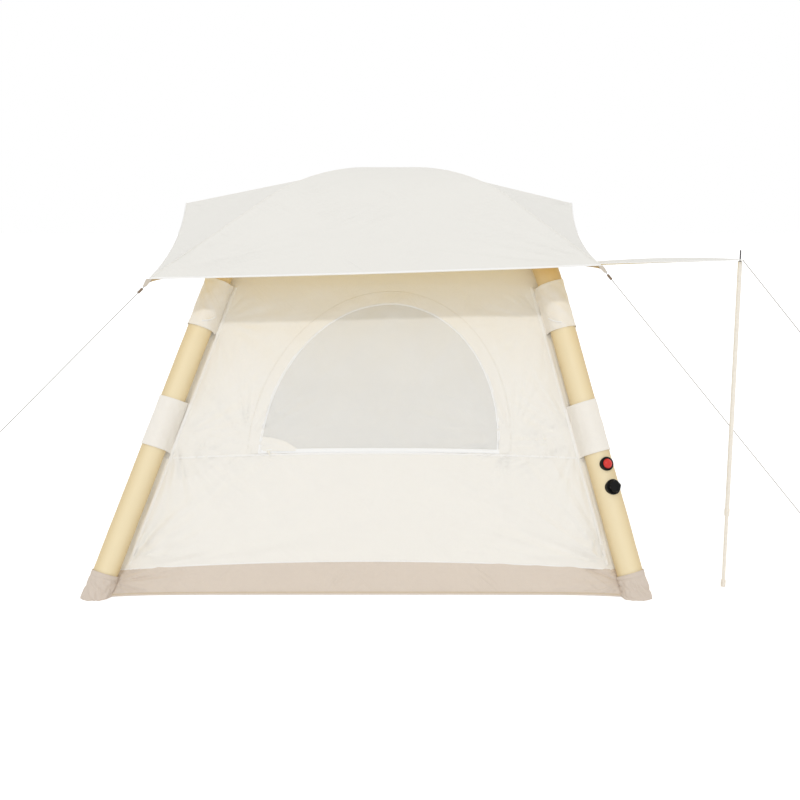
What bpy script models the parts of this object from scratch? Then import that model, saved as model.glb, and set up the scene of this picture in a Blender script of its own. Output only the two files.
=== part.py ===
"""Inflatable tent at its real size, in metres, +Z up.

Four air beams rise from the corners of a square groundsheet, lean inwards, bend over and meet in a
four-way hub. Fabric sleeves tie the walls to the beams, a fly lies over the hub, and one pole holds
out a triangular awning. The origin is the centre of the base on the ground. The window wall faces -Y
and the doorway faces +X.
"""

from math import atan, cos, hypot, pi, radians, sin, sqrt, tan

import bmesh
import bpy
from mathutils import Matrix, Vector
from mathutils.geometry import interpolate_bezier

# Driving dimensions of the frame
FOOT_HALF = 1.15  # tent centre to a beam's axis at the ground, along X and along Y
SHOULDER_HALF = 0.733  # the same where the straight leg ends
SHOULDER_HEIGHT = 1.30
CROWN_HEIGHT = 1.754  # axis of the beams where they run level into the hub
HUB_REACH = 0.12  # hub centre to the end of each of its four arms
SHOULDER_PULL = 0.30  # how far the bend keeps the leg's direction
CROWN_PULL = 0.42  # how far the bend keeps the level direction
SIDE_LEAN = 0.055  # how far the standing tent leans to the right, per metre of height
BEAM_RADIUS = 0.055
BEAM_SKIN = 0.0015
GAP = 0.0003  # between touching pieces
CUTTER_OVERRUN = 0.05  # how far a cutter runs past what it cuts

# Cloth
FABRIC = 0.0015
SOLE = 0.002  # groundsheet, and the pad under each beam
WRAP = 0.002  # sleeves and boots round the beams
BOOT_HEIGHT = 0.092
MID_SLEEVE_LOW = 0.605
MID_SLEEVE_HIGH = 0.805
UPPER_SLEEVE_LOW = 1.105
UPPER_SLEEVE_HIGH = 1.285
SKIRT_END_HEIGHT = 0.090  # upstand of the groundsheet beside the beams
SKIRT_MID_HEIGHT = 0.125  # and at the middle of each wall

# Window and doorway, measured on the sloping wall
WINDOW_SILL = 0.612
WINDOW_HALF_WIDTH = 0.515
WINDOW_RISE = 0.648
WINDOW_SHIFT = 0.019  # middle of the sill, right of the wall's middle
WINDOW_CROWN_SHIFT = 0.0135  # and the crown, right of the sill's middle
MESH_SHEET = 0.001
BINDING_WIDTH = 0.012
BINDING_SHEET = 0.0015
DOOR_SILL = 0.175
DOOR_HALF_WIDTH = 0.42
DOOR_RISE = 1.02
ARCH_FULLNESS = 2.0  # exponent of the arch: 2 is an ellipse, more is squarer

# Rolled door, tied back beside the doorway
ROLL_RADIUS = 0.036
ROLL_LENGTH = 0.78
ROLL_CREASE = 0.004
TIE_WIDTH = 0.022
TIE_SHEET = 0.0018
TIE_HEIGHTS_SHARES = (0.22, 0.78)

# Fly: its four corners, and how its edges sag
FLY_FRONT_LEFT = 0.907
FLY_FRONT_RIGHT = 0.980
FLY_FRONT_OUT = 1.00
FLY_FRONT_LEFT_HEIGHT = 1.337
FLY_FRONT_RIGHT_HEIGHT = 1.393
FLY_REAR_LEFT = 1.080
FLY_REAR_RIGHT = 1.126
FLY_REAR_OUT = 0.85
FLY_REAR_HEIGHT = 1.625
FLY_EASE = 0.024  # how far the fly stands off the beams where they are steepest
FLY_SIDE_SAG = 0.030
FLY_SIDE_HOLLOW = 0.025
FLY_END_SAG = 0.006
FLY_END_HOLLOW = 0.012

# Corner tabs that the guy lines pull on
TAB_WIDTH = 0.055
TAB_TIP_WIDTH = 0.022
TAB_SHEET = 0.002

# Awning and its pole
POLE_X = 1.553
POLE_Y = -1.03
EYELET_HEIGHT = 1.416
AWNING_SHEET = 0.0015
AWNING_TIP_WIDTH = 0.032
AWNING_TIP_PAST = 0.012
AWNING_EDGE_HOLLOW = 0.05
AWNING_REAR_HEIGHT = 1.270
AWNING_CORNER_BACK = 0.050  # how far behind the fly's corner the awning starts
EYELET_RADIUS = 0.0085
EYELET_DEPTH = 0.004
SPIKE_RADIUS = 0.003
SPIKE_RISE = 0.042  # above the eyelet
SPIKE_CLEARANCE = 0.0007
POLE_RADIUS = 0.009
POLE_WALL = 0.0012
POLE_TOP_DROP = 0.007  # eyelet down to the end plug
PLUG_DEPTH = 0.030
POLE_JOINT_HEIGHT = 0.335  # lower end of the upper section
CLAMP_RADIUS = 0.0110
CLAMP_HEIGHT = 0.030
SLIDE_CLEARANCE = 0.0004
INNER_LAP = 0.12  # lower section that stays inside the upper one
FOOT_RADIUS = 0.0100
FOOT_HEIGHT = 0.030
FOOT_SOLE = 0.006

# Guy lines: straight under tension, each leaving in its own direction
CORD_DIAMETER = 0.003
LEFT_GUY = ((-0.921, -1.030, 1.306), (-1.495, -1.366, 0.706))
RIGHT_GUY = ((0.998, -1.030, 1.364), (1.936, -0.9465, 0.262))
POLE_GUY = ((1.561, -1.042, 1.4155), (1.798, -1.208, 1.0895))
RUNNER_LENGTH = 0.026
RUNNER_WIDTH = 0.013
RUNNER_DEPTH = 0.009
RUNNER_BORE = 0.0022
RUNNER_BEVEL = 0.002
RUNNER_START = 0.012
HOOK_WIRE_RADIUS = 0.002
HOOK_SHANK = 0.022
HOOK_BEND = 0.009

# Valves on the front right beam
VALVE_TURN = radians(24)  # from the window side round towards the doorway side
RELIEF_HEIGHT = 0.528
RELIEF_RADIUS = 0.0300
RELIEF_PROUD = 0.009
RELIEF_BUTTON_RADIUS = 0.0210
RELIEF_BUTTON_PROUD = 0.011
INFLATION_HEIGHT = 0.434
INFLATION_RADIUS = 0.0335
INFLATION_PROUD = 0.007
CAP_RADIUS = 0.0265
CAP_HEIGHT = 0.018
CAP_LOBES = 6
CAP_LOBE_DEPTH = 0.0022
CAP_SEAT = 0.003
NECK_WALL = 0.003
NECK_DEPTH = 0.016
VALVE_CLEARANCE = 0.0005
CAP_STEM_RADIUS = 0.010

# Window zip
SLIDER_LENGTH = 0.026
SLIDER_WIDTH = 0.012
SLIDER_DEPTH = 0.006
SLIDER_BEVEL = 0.0015
SLIDER_MARGIN = 0.020

# Facets
BEAM_SIDES = 16
BEND_STEPS = 14
ARCH_STEPS = 28
EDGE_STEPS = 8
CANOPY_ROWS = 14
CANOPY_COLUMNS = 8
ROUND_SIDES = 24
POLE_SIDES = 16

# What follows from them
UP = Vector((0, 0, 1))
LEANING = Matrix.Identity(4)
LEANING[0][2] = SIDE_LEAN
LEAN = atan((FOOT_HALF - SHOULDER_HALF) / SHOULDER_HEIGHT)
WRAP_RADIUS = BEAM_RADIUS + GAP + WRAP
FOOT_POINT = Vector((FOOT_HALF * sqrt(2), 0))
SHOULDER_POINT = Vector((SHOULDER_HALF * sqrt(2), SHOULDER_HEIGHT))
LEG_DIRECTION = (SHOULDER_POINT - FOOT_POINT).normalized()
WRAP_REACH = WRAP_RADIUS / LEG_DIRECTION.y + GAP  # level, from a beam's axis towards the tent's centre
WALL_END = FABRIC + GAP  # how far a wall stops short of its neighbour's outer face
WALL_INSET = (sqrt(2 * WRAP_REACH * WRAP_REACH - WALL_END * WALL_END) - WALL_END) / 2
WALL_HALF = FOOT_HALF - WALL_INSET  # tent centre to a wall's outer face at the ground
CORNERS = {"front_left": (-1, -1), "front_right": (1, -1), "rear_right": (1, 1), "rear_left": (-1, 1)}
WALL_TURNS = {"front": 0, "right": pi / 2, "rear": pi, "left": -pi / 2}

for old in list(bpy.data.objects):
    bpy.data.objects.remove(old)


# Materials and objects


def finish(name, colour, roughness, metallic=0.0):
    """A Principled material of one colour."""
    material = bpy.data.materials.new(name)
    material.use_nodes = True
    shader = material.node_tree.nodes["Principled BSDF"]
    shader.inputs["Base Color"].default_value = (*colour, 1)
    shader.inputs["Roughness"].default_value = roughness
    shader.inputs["Metallic"].default_value = metallic
    material.diffuse_color = (*colour, 1)
    return material


YELLOW_BEAM = (0.80, 0.64, 0.38)
CREAM = (0.86, 0.82, 0.74)
TAUPE = (0.70, 0.61, 0.51)


def own_finish(name, colour, roughness, metallic=0.0):
    return finish(name + "_finish", colour, roughness, metallic)


def place(name, data, colour, roughness, metallic=0.0, matrix=None):
    """Adds an object under its node's name, with a material of its own."""
    made = bpy.data.objects.new(name, data)
    bpy.context.scene.collection.objects.link(made)
    made.data.materials.append(own_finish(name, colour, roughness, metallic))
    if matrix is not None:
        made.matrix_world = matrix
    return made


def stand(name, mesh, colour, roughness, matrix=Matrix()):
    """Adds a piece that leans with the standing tent. Its mesh is given in the upright tent's frame."""
    mesh.transform(LEANING @ matrix)
    return place(name, mesh, colour, roughness)


def mesh_from(bm, name, smooth_angle=radians(35)):
    bmesh.ops.recalc_face_normals(bm, faces=bm.faces)
    mesh = bpy.data.meshes.new(name)
    bm.to_mesh(mesh)
    bm.free()
    mesh.shade_smooth()
    mesh.set_sharp_from_angle(angle=smooth_angle)
    return mesh


def cutter(name, mesh, matrix):
    """A helper that a Boolean cuts with or joins, left out of the build."""
    made = bpy.data.objects.new(name, mesh)
    bpy.context.scene.collection.objects.link(made)
    made.matrix_world = matrix
    made.hide_render = True
    made.display_type = "WIRE"
    return made


def combine(target, other, operation):
    step = target.modifiers.new(operation.lower() + "_" + other.name, "BOOLEAN")
    step.operation = operation
    step.object = other


def thicken(target, thickness, offset):
    step = target.modifiers.new("thickness", "SOLIDIFY")
    step.thickness = thickness
    step.offset = offset
    step.use_even_offset = True


def chamfer(target, width, segments=2):
    step = target.modifiers.new("edges", "BEVEL")
    step.width = width
    step.segments = segments
    step.limit_method = "ANGLE"


# Tubes made of rings


def ring_points(centre, along, side, radius, count, cut=None):
    """Points of a ring square to `along`, or slid along it into the plane with normal `cut`."""
    across = side.cross(along).normalized()
    points = []
    for step in range(count):
        angle = 2 * pi * step / count
        point = centre + radius * (cos(angle) * side + sin(angle) * across)
        if cut is not None:
            point = point - along * ((point - centre).dot(cut) / along.dot(cut))
        points.append(point)
    return points


def loft(bm, rings, closed=False):
    """Joins rings of points in order. An open loft is capped at both ends, a closed one is a ring itself."""
    made = [[bm.verts.new(point) for point in ring] for ring in rings]
    pairs = list(zip(made, made[1:]))
    if closed:
        pairs.append((made[-1], made[0]))
    for low, high in pairs:
        for here in range(len(low)):
            bm.faces.new((low[here - 1], low[here], high[here], high[here - 1]))
    if not closed:
        bm.faces.new(made[0])
        bm.faces.new(made[-1])


def turned(profile, sides=ROUND_SIDES):
    """A solid turned round Z from (radius, height) pairs, closed by caps at both ends of the profile."""
    bm = bmesh.new()
    x_axis = Vector((1, 0, 0))
    loft(bm, [ring_points(UP * height, UP, x_axis, radius, sides) for radius, height in profile])
    return bm


def turned_ring(profile, sides=ROUND_SIDES):
    """The same from a closed profile that stays off the axis, so the solid has a bore."""
    bm = bmesh.new()
    x_axis = Vector((1, 0, 0))
    rings = [ring_points(UP * height, UP, x_axis, radius, sides) for radius, height in profile]
    loft(bm, rings, closed=True)
    return bm


# The beams' shared centre line, in a corner's own upright plane: (distance from tent centre, height)


def leg_point(height):
    return FOOT_POINT + LEG_DIRECTION * (height / LEG_DIRECTION.y)


def bend_points():
    crown = Vector((HUB_REACH + GAP, CROWN_HEIGHT))
    handles = (SHOULDER_POINT + LEG_DIRECTION * SHOULDER_PULL, crown + Vector((CROWN_PULL, 0)))
    points = interpolate_bezier(SHOULDER_POINT, *handles, crown, BEND_STEPS)
    return [Vector(point[:2]) for point in points]


def bend_directions():
    points = bend_points()
    inner = [(after - before).normalized() for before, after in zip(points, points[2:])]
    return [LEG_DIRECTION, *inner, Vector((-1, 0))]


def bend_offset(distance_of):
    """The bend moved away from the tent's inside by distance_of(direction) at each point."""
    moved = []
    for point, along in zip(bend_points(), bend_directions()):
        outward = Vector((along.y, -along.x))
        moved.append(point + outward * distance_of(along))
    return moved


def corner_plane(corner):
    """Unit vectors outwards and sideways of the upright plane that holds a corner's beam."""
    outward = Vector((*CORNERS[corner], 0)).normalized()
    return outward, UP.cross(outward)


def in_corner(corner, flat):
    outward, _ = corner_plane(corner)
    return outward * flat.x + UP * flat.y


def beam_stations():
    """Point, direction and cut of each ring from the foot to the hub."""
    foot = leg_point(SOLE + GAP)
    stations = [(foot, LEG_DIRECTION, True)]
    stations += [(point, along, False) for point, along in zip(bend_points(), bend_directions())]
    return stations


def beam_rings(corner, radius, lift):
    _, side = corner_plane(corner)
    rings = []
    for point, along, at_foot in beam_stations():
        centre = point + LEG_DIRECTION * (lift / LEG_DIRECTION.y) if at_foot else point
        cut = UP if at_foot else None
        rings.append(
            ring_points(in_corner(corner, centre), in_corner(corner, along), side, radius, BEAM_SIDES, cut)
        )
    return rings


def air_beam(corner):
    """A hollow tube, closed at the ground and open into the hub."""
    bm = bmesh.new()
    outer = beam_rings(corner, BEAM_RADIUS, 0)
    inner = beam_rings(corner, BEAM_RADIUS - BEAM_SKIN, BEAM_SKIN)
    loft(bm, outer + inner[::-1])
    return stand("beam_" + corner, mesh_from(bm, "beam_" + corner), YELLOW_BEAM, 0.55)


def wrap(name, corner, low, high, colour):
    """A fabric sleeve round the straight leg, from one height to another."""
    _, side = corner_plane(corner)
    along = in_corner(corner, LEG_DIRECTION)
    ends = [in_corner(corner, leg_point(height)) for height in (low, high)]
    inner_radius = BEAM_RADIUS + GAP
    order = ((ends[0], WRAP_RADIUS), (ends[1], WRAP_RADIUS), (ends[1], inner_radius), (ends[0], inner_radius))
    bm = bmesh.new()
    loft(bm, [ring_points(centre, along, side, radius, BEAM_SIDES) for centre, radius in order], closed=True)
    return stand(name, mesh_from(bm, name), colour, 0.8)


def boot(corner):
    """A cup round the beam's foot, flat on the ground."""
    _, side = corner_plane(corner)
    along = in_corner(corner, LEG_DIRECTION)
    ground = in_corner(corner, leg_point(0))
    floor = in_corner(corner, leg_point(SOLE))
    top = in_corner(corner, leg_point(BOOT_HEIGHT))
    inner_radius = BEAM_RADIUS + GAP
    bm = bmesh.new()
    rings = [
        ring_points(ground, along, side, WRAP_RADIUS, BEAM_SIDES, UP),
        ring_points(top, along, side, WRAP_RADIUS, BEAM_SIDES),
        ring_points(top, along, side, inner_radius, BEAM_SIDES),
        ring_points(floor, along, side, inner_radius, BEAM_SIDES, UP),
    ]
    loft(bm, rings)
    return stand("boot_" + corner, mesh_from(bm, "boot_" + corner), TAUPE, 0.85)


def hub_arm(radius, reach, corner):
    outward, side = corner_plane(corner)
    level = UP * CROWN_HEIGHT
    bm = bmesh.new()
    ends = [level - outward * reach, level + outward * reach]
    loft(bm, [ring_points(end, outward, side, radius, BEAM_SIDES) for end in ends])
    mesh = mesh_from(bm, "hub_arm")
    mesh.transform(LEANING)
    return mesh


def crown_hub():
    """Two tubes crossing at the crown, hollow, with four open arms that the beams butt against."""
    hub = place("crown_hub", hub_arm(BEAM_RADIUS, HUB_REACH, "front_left"), YELLOW_BEAM, 0.55)
    second = cutter("hub_second_tube", hub_arm(BEAM_RADIUS, HUB_REACH, "front_right"), Matrix())
    combine(hub, second, "UNION")
    for corner in ("front_left", "front_right"):
        bore = hub_arm(BEAM_RADIUS - BEAM_SKIN, HUB_REACH + CUTTER_OVERRUN, corner)
        combine(hub, cutter("hub_bore_" + corner, bore, Matrix()), "DIFFERENCE")
    return hub


# Flat panels on the sloping walls


def wall_frame(side, out=0.0):
    """Local X along the wall, Y up its slope from the ground and Z outwards, `out` above its outer face."""
    foot = Matrix.Rotation(WALL_TURNS[side], 4, "Z") @ Matrix.Translation((0, -WALL_HALF, 0))
    return foot @ Matrix.Rotation(pi / 2 - LEAN, 4, "X") @ Matrix.Translation((0, 0, out))


def panel(name, outlines, sheet, colour, roughness, matrix):
    """A flat sheet, its back on the matrix's plane. The outlines after the first one are holes."""
    curve = bpy.data.curves.new(name, "CURVE")
    curve.dimensions = "2D"
    curve.fill_mode = "BOTH"
    curve.extrude = sheet / 2
    for outline in outlines:
        spline = curve.splines.new("POLY")
        spline.points.add(len(outline) - 1)
        for point, (x, y) in zip(spline.points, outline):
            point.co = (x, y, 0, 1)
        spline.use_cyclic_u = True
    outlined = bpy.data.objects.new(name + "_outline", curve)
    bm = bmesh.new()
    bm.from_mesh(bpy.data.meshes.new_from_object(outlined))
    bpy.data.objects.remove(outlined)
    bmesh.ops.remove_doubles(bm, verts=bm.verts, dist=GAP / 10)
    return stand(name, mesh_from(bm, name), colour, roughness, matrix @ Matrix.Translation((0, 0, sheet / 2)))


def wall_half_at(slope_height):
    """Half the width of a wall panel at a height up its slope, short of its neighbours at the corners."""
    return WALL_HALF - slope_height * sin(LEAN) - WALL_END


def skirt_edge(margin):
    """The skirt's curved upper edge from left to right, moved up by `margin`."""
    points = []
    for step in range(EDGE_STEPS + 1):
        share = 2 * step / EDGE_STEPS - 1
        rise = SKIRT_END_HEIGHT + (SKIRT_MID_HEIGHT - SKIRT_END_HEIGHT) * (1 - share * share)
        height = (rise + margin) / cos(LEAN)
        points.append((share * wall_half_at(height), height))
    return points


def arch(half_width, sill, rise, shift=0.0, crown_shift=0.0, margin=0.0):
    """A D-shaped outline with a flat sill, grown by `margin` on every side."""
    power = 2 / ARCH_FULLNESS
    points = []
    for step in range(ARCH_STEPS + 1):
        angle = pi * step / ARCH_STEPS
        across = abs(cos(angle)) ** power * (1 if cos(angle) > 0 else -1)
        height = sin(angle) ** power
        middle = shift + crown_shift * height
        points.append((middle + (half_width + margin) * across, sill + (rise + margin) * height))
    points[0] = (points[0][0], sill - margin)
    points[-1] = (points[-1][0], sill - margin)
    return points


def ceiling_ridge():
    """Underside of the bend, which the ceiling hangs against."""
    return bend_offset(lambda along: -(WRAP_RADIUS + GAP))


def wall_top():
    """Slope height at which a wall ends, under the hem of the ceiling, whose inner face dips lowest."""
    hem, above = ceiling_ridge()[:2]
    rise = above - hem
    inwards = rise.x / sqrt(2)
    dip = FABRIC * abs(inwards) / hypot(inwards, rise.y)
    return (hem.y - dip - GAP) / cos(LEAN)


WALL_TOP = wall_top()


def wall_outline():
    top_half = wall_half_at(WALL_TOP)
    return skirt_edge(GAP) + [(top_half, WALL_TOP), (-top_half, WALL_TOP)]


def skirt_outline():
    low = FABRIC * tan(LEAN)
    half = wall_half_at(low)
    return [(-half, low), (half, low)] + skirt_edge(0)[::-1]


def window_arch(margin=0.0):
    return arch(WINDOW_HALF_WIDTH, WINDOW_SILL, WINDOW_RISE, WINDOW_SHIFT, WINDOW_CROWN_SHIFT, margin)


def door_arch(margin=0.0):
    return arch(DOOR_HALF_WIDTH, DOOR_SILL, DOOR_RISE, margin=margin)


def walls():
    holes = {"front": [window_arch()], "rear": [window_arch()], "right": [door_arch()], "left": []}
    for side, openings in holes.items():
        inside = wall_frame(side, -FABRIC)
        panel(side + "_wall", [wall_outline(), *openings], FABRIC, CREAM, 0.8, inside)
        panel(side + "_skirt", [skirt_outline()], FABRIC, TAUPE, 0.85, inside)


def window(side):
    """Mesh in the opening, and the stitched band that carries its zip round the outside."""
    grey = (0.72, 0.71, 0.70)
    panel(side + "_window_mesh", [window_arch(-GAP)], MESH_SHEET, grey, 0.9, wall_frame(side, -MESH_SHEET))
    band = [window_arch(BINDING_WIDTH), window_arch()]
    panel(side + "_window_binding", band, BINDING_SHEET, CREAM, 0.6, wall_frame(side, GAP))


def groundsheet():
    half = WALL_HALF - FABRIC / cos(LEAN) - SOLE * tan(LEAN) - GAP
    square = [(-half, -half), (half, -half), (half, half), (-half, half)]
    panel("groundsheet", [square], SOLE, TAUPE, 0.85, Matrix())


# Doorway


def door_roll():
    """The door panel rolled up and held beside the opening by two ties."""
    roll_out = 2 * GAP + TIE_SHEET + ROLL_RADIUS
    across = DOOR_HALF_WIDTH + BINDING_WIDTH + GAP + TIE_SHEET + ROLL_RADIUS
    low = DOOR_SILL + (DOOR_RISE - ROLL_LENGTH) / 2
    frame = wall_frame("right", roll_out) @ Matrix.Translation((across, low, 0))
    frame = frame @ Matrix.Rotation(-pi / 2, 4, "X")
    end = ROLL_RADIUS - ROLL_CREASE
    profile = [(end - ROLL_CREASE, 0), (end, ROLL_CREASE)]
    tie_low_share, tie_high_share = TIE_HEIGHTS_SHARES
    for share in (tie_low_share, (tie_low_share + tie_high_share) / 2, tie_high_share):
        profile.append((ROLL_RADIUS, share * ROLL_LENGTH))
    profile += [(end, ROLL_LENGTH - ROLL_CREASE), (end - ROLL_CREASE, ROLL_LENGTH)]
    stand("rolled_door", mesh_from(turned(profile), "rolled_door"), CREAM, 0.8, frame)
    for number, share in enumerate(TIE_HEIGHTS_SHARES, 1):
        low, high = share * ROLL_LENGTH - TIE_WIDTH / 2, share * ROLL_LENGTH + TIE_WIDTH / 2
        inner, outer = ROLL_RADIUS + GAP, ROLL_RADIUS + GAP + TIE_SHEET
        strap = turned_ring([(inner, low), (outer, low), (outer, high), (inner, high)])
        name = f"door_tie_{number}"
        stand(name, mesh_from(strap, name), TAUPE, 0.7, frame)


def doorway():
    band = [door_arch(BINDING_WIDTH), door_arch()]
    panel("door_binding", band, BINDING_SHEET, CREAM, 0.6, wall_frame("right", GAP))
    door_roll()


# Sheets stretched over four ridges


def evenly(points, steps):
    """The same line through points spaced evenly along its length."""
    lengths = [0]
    for before, after in zip(points, points[1:]):
        lengths.append(lengths[-1] + (after - before).length)
    spaced = []
    for step in range(steps + 1):
        wanted = lengths[-1] * step / steps
        last = max(index for index, length in enumerate(lengths[:-1]) if length <= wanted)
        share = (wanted - lengths[last]) / (lengths[last + 1] - lengths[last])
        spaced.append(points[last].lerp(points[last + 1], share))
    return spaced


def canopy(name, ridges, hem_moves, thickness, offset, colour, roughness):
    """A sheet from an apex down four ridges, with straight threads between neighbouring ridges."""
    bm = bmesh.new()
    apex = bm.verts.new(ridges[0][0])
    rows = []
    for row in range(1, CANOPY_ROWS + 1):
        weight = (row / CANOPY_ROWS) ** 2
        loop = []
        for number, move in enumerate(hem_moves):
            start, end = ridges[number][row], ridges[(number + 1) % len(ridges)][row]
            for column in range(CANOPY_COLUMNS):
                share = column / CANOPY_COLUMNS
                bow = 4 * share * (1 - share) * weight
                loop.append(bm.verts.new(start.lerp(end, share) + move * bow))
        rows.append(loop)
    for here in range(len(rows[0])):
        bm.faces.new((apex, rows[0][here - 1], rows[0][here]))
    for upper, lower in zip(rows, rows[1:]):
        for here in range(len(upper)):
            bm.faces.new((upper[here - 1], lower[here - 1], lower[here], upper[here]))
    bmesh.ops.recalc_face_normals(bm, faces=bm.faces)
    if sum(face.normal.z for face in bm.faces) < 0:
        bmesh.ops.reverse_faces(bm, faces=bm.faces)
    mesh = bpy.data.meshes.new(name)
    bm.to_mesh(mesh)
    bm.free()
    mesh.shade_smooth()
    made = stand(name, mesh, colour, roughness)
    thicken(made, thickness, offset)
    return made


def ceiling():
    under_hub = Vector((0, CROWN_HEIGHT - BEAM_RADIUS - GAP))
    line = [under_hub, *ceiling_ridge()[::-1]]
    ridges = [evenly([in_corner(corner, point) for point in line], CANOPY_ROWS) for corner in CORNERS]
    still = Vector((0, 0, 0))
    canopy("ceiling", ridges, [still] * len(CORNERS), FABRIC, -1, CREAM, 0.85)


def clear_of_tube(along):
    """How far above a beam's axis the ridge of two taut panels has to be for both to clear the tube."""
    return (BEAM_RADIUS + GAP) * sqrt(1 + along.y * along.y) + FLY_EASE * along.y


FLY_CORNERS = {
    "front_left": Vector((-FLY_FRONT_LEFT, -FLY_FRONT_OUT, FLY_FRONT_LEFT_HEIGHT)),
    "front_right": Vector((FLY_FRONT_RIGHT, -FLY_FRONT_OUT, FLY_FRONT_RIGHT_HEIGHT)),
    "rear_right": Vector((FLY_REAR_RIGHT, FLY_REAR_OUT, FLY_REAR_HEIGHT)),
    "rear_left": Vector((-FLY_REAR_LEFT, FLY_REAR_OUT, FLY_REAR_HEIGHT)),
}


def upright_corner(corner):
    """Where a corner of the fly would be if the tent stood upright."""
    return LEANING.inverted() @ FLY_CORNERS[corner]


def fly_ridge(corner):
    """Over the hub, along the beam while it carries the fly, then straight out to the fly's corner."""
    tip = upright_corner(corner)
    reach = hypot(tip.x, tip.y)
    over_beam = bend_offset(clear_of_tube)[::-1]
    leave = max(over_beam, key=lambda point: (point.y - tip.z) / (reach - point.x))
    line = [Vector((0, over_beam[0].y)), *over_beam[: over_beam.index(leave) + 1]]
    return evenly([in_corner(corner, point) for point in line] + [tip], CANOPY_ROWS)


def fly():
    down, side_in, end_in = Vector((0, 0, -1)), FLY_SIDE_HOLLOW, FLY_END_HOLLOW
    moves = [
        down * FLY_END_SAG + Vector((0, end_in, 0)),
        down * FLY_SIDE_SAG - Vector((side_in, 0, 0)),
        down * FLY_END_SAG - Vector((0, end_in, 0)),
        down * FLY_SIDE_SAG + Vector((side_in, 0, 0)),
    ]
    canopy("fly", [fly_ridge(corner) for corner in CORNERS], moves, FABRIC, 1, CREAM, 0.75)


def frame_along(start, direction):
    """A matrix at `start` with Z along `direction` and X level."""
    z_axis = direction.normalized()
    x_axis = UP.cross(z_axis).normalized()
    y_axis = z_axis.cross(x_axis)
    turn = Matrix((x_axis, y_axis, z_axis)).transposed().to_4x4()
    return Matrix.Translation(start) @ turn


def corner_tab(corner, guy):
    """A triangular webbing patch under the fly's corner, its narrow end reaching out to the guy line."""
    tip = Vector(guy[0])
    direction = tip - FLY_CORNERS[corner]
    frame = frame_along(tip, direction)
    reach = direction.length - GAP
    tilt = direction.angle(Vector(guy[1]) - tip)
    short = CORD_DIAMETER / 2 * sin(tilt) + GAP
    half, tip_half = TAB_WIDTH / 2, TAB_TIP_WIDTH / 2
    bm = bmesh.new()
    y_low, y_high = -TAB_SHEET / 2, TAB_SHEET / 2
    outline = [(-half, -reach), (half, -reach), (tip_half, -short), (-tip_half, -short)]
    low = [bm.verts.new((x, y_low, z)) for x, z in outline]
    high = [bm.verts.new((x, y_high, z)) for x, z in outline]
    bm.faces.new(low)
    bm.faces.new(high)
    for here in range(len(low)):
        bm.faces.new((low[here - 1], low[here], high[here], high[here - 1]))
    name = "corner_tab_" + corner.split("_")[1]
    place(name, mesh_from(bm, name), TAUPE, 0.7, 0.0, frame)


# Awning and pole


def awning_frame():
    return Matrix.Translation((POLE_X, POLE_Y, EYELET_HEIGHT))


def awning():
    """A triangle from the fly's front right corner and the rear right beam out to the pole."""
    corner = upright_corner("front_right")
    hem = upright_corner("rear_right") - corner
    share = AWNING_CORNER_BACK / hem.length
    bow = 4 * share * (1 - 1 / CANOPY_COLUMNS)
    under_hem = UP * (bow * FLY_SIDE_SAG + AWNING_SHEET / 2 + GAP) + Vector((bow * FLY_SIDE_HOLLOW, 0, 0))
    near = LEANING @ (corner + hem * share - under_hem)
    rear_axis = in_corner("rear_right", leg_point(AWNING_REAR_HEIGHT))
    beside_sleeve = WRAP_RADIUS / sqrt((1 + LEG_DIRECTION.y * LEG_DIRECTION.y) / 2) + 2 * GAP
    rear = LEANING @ (rear_axis + Vector((beside_sleeve, 0, 0)))
    tip = Vector((POLE_X, POLE_Y, EYELET_HEIGHT))
    outward = (tip - near.lerp(rear, 0.5)).normalized()
    end = tip + outward * AWNING_TIP_PAST
    tip_side = (rear - near).normalized() * (AWNING_TIP_WIDTH / 2)
    bm = bmesh.new()
    rows = []
    for row in range(CANOPY_ROWS + 1):
        share = row / CANOPY_ROWS
        hollow = 4 * share * (1 - share) * AWNING_EDGE_HOLLOW
        start = near.lerp(end - tip_side, share)
        stop = rear.lerp(end + tip_side, share)
        stop = stop + (start - stop).normalized() * hollow
        rows.append([bm.verts.new(start.lerp(stop, step / EDGE_STEPS)) for step in range(EDGE_STEPS + 1)])
    for upper, lower in zip(rows, rows[1:]):
        for here in range(EDGE_STEPS):
            bm.faces.new((upper[here], upper[here + 1], lower[here + 1], lower[here]))
    if sum(face.normal.z for face in bm.faces) > 0:
        bmesh.ops.reverse_faces(bm, faces=bm.faces)
    mesh = bpy.data.meshes.new("awning")
    bm.to_mesh(mesh)
    bm.free()
    made = place("awning", mesh, CREAM, 0.75)
    thicken(made, AWNING_SHEET, 0)
    hole = turned([(EYELET_RADIUS + GAP, -CUTTER_OVERRUN), (EYELET_RADIUS + GAP, CUTTER_OVERRUN)])
    combine(made, cutter("eyelet_hole", mesh_from(hole, "eyelet_hole"), awning_frame()), "DIFFERENCE")


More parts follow.
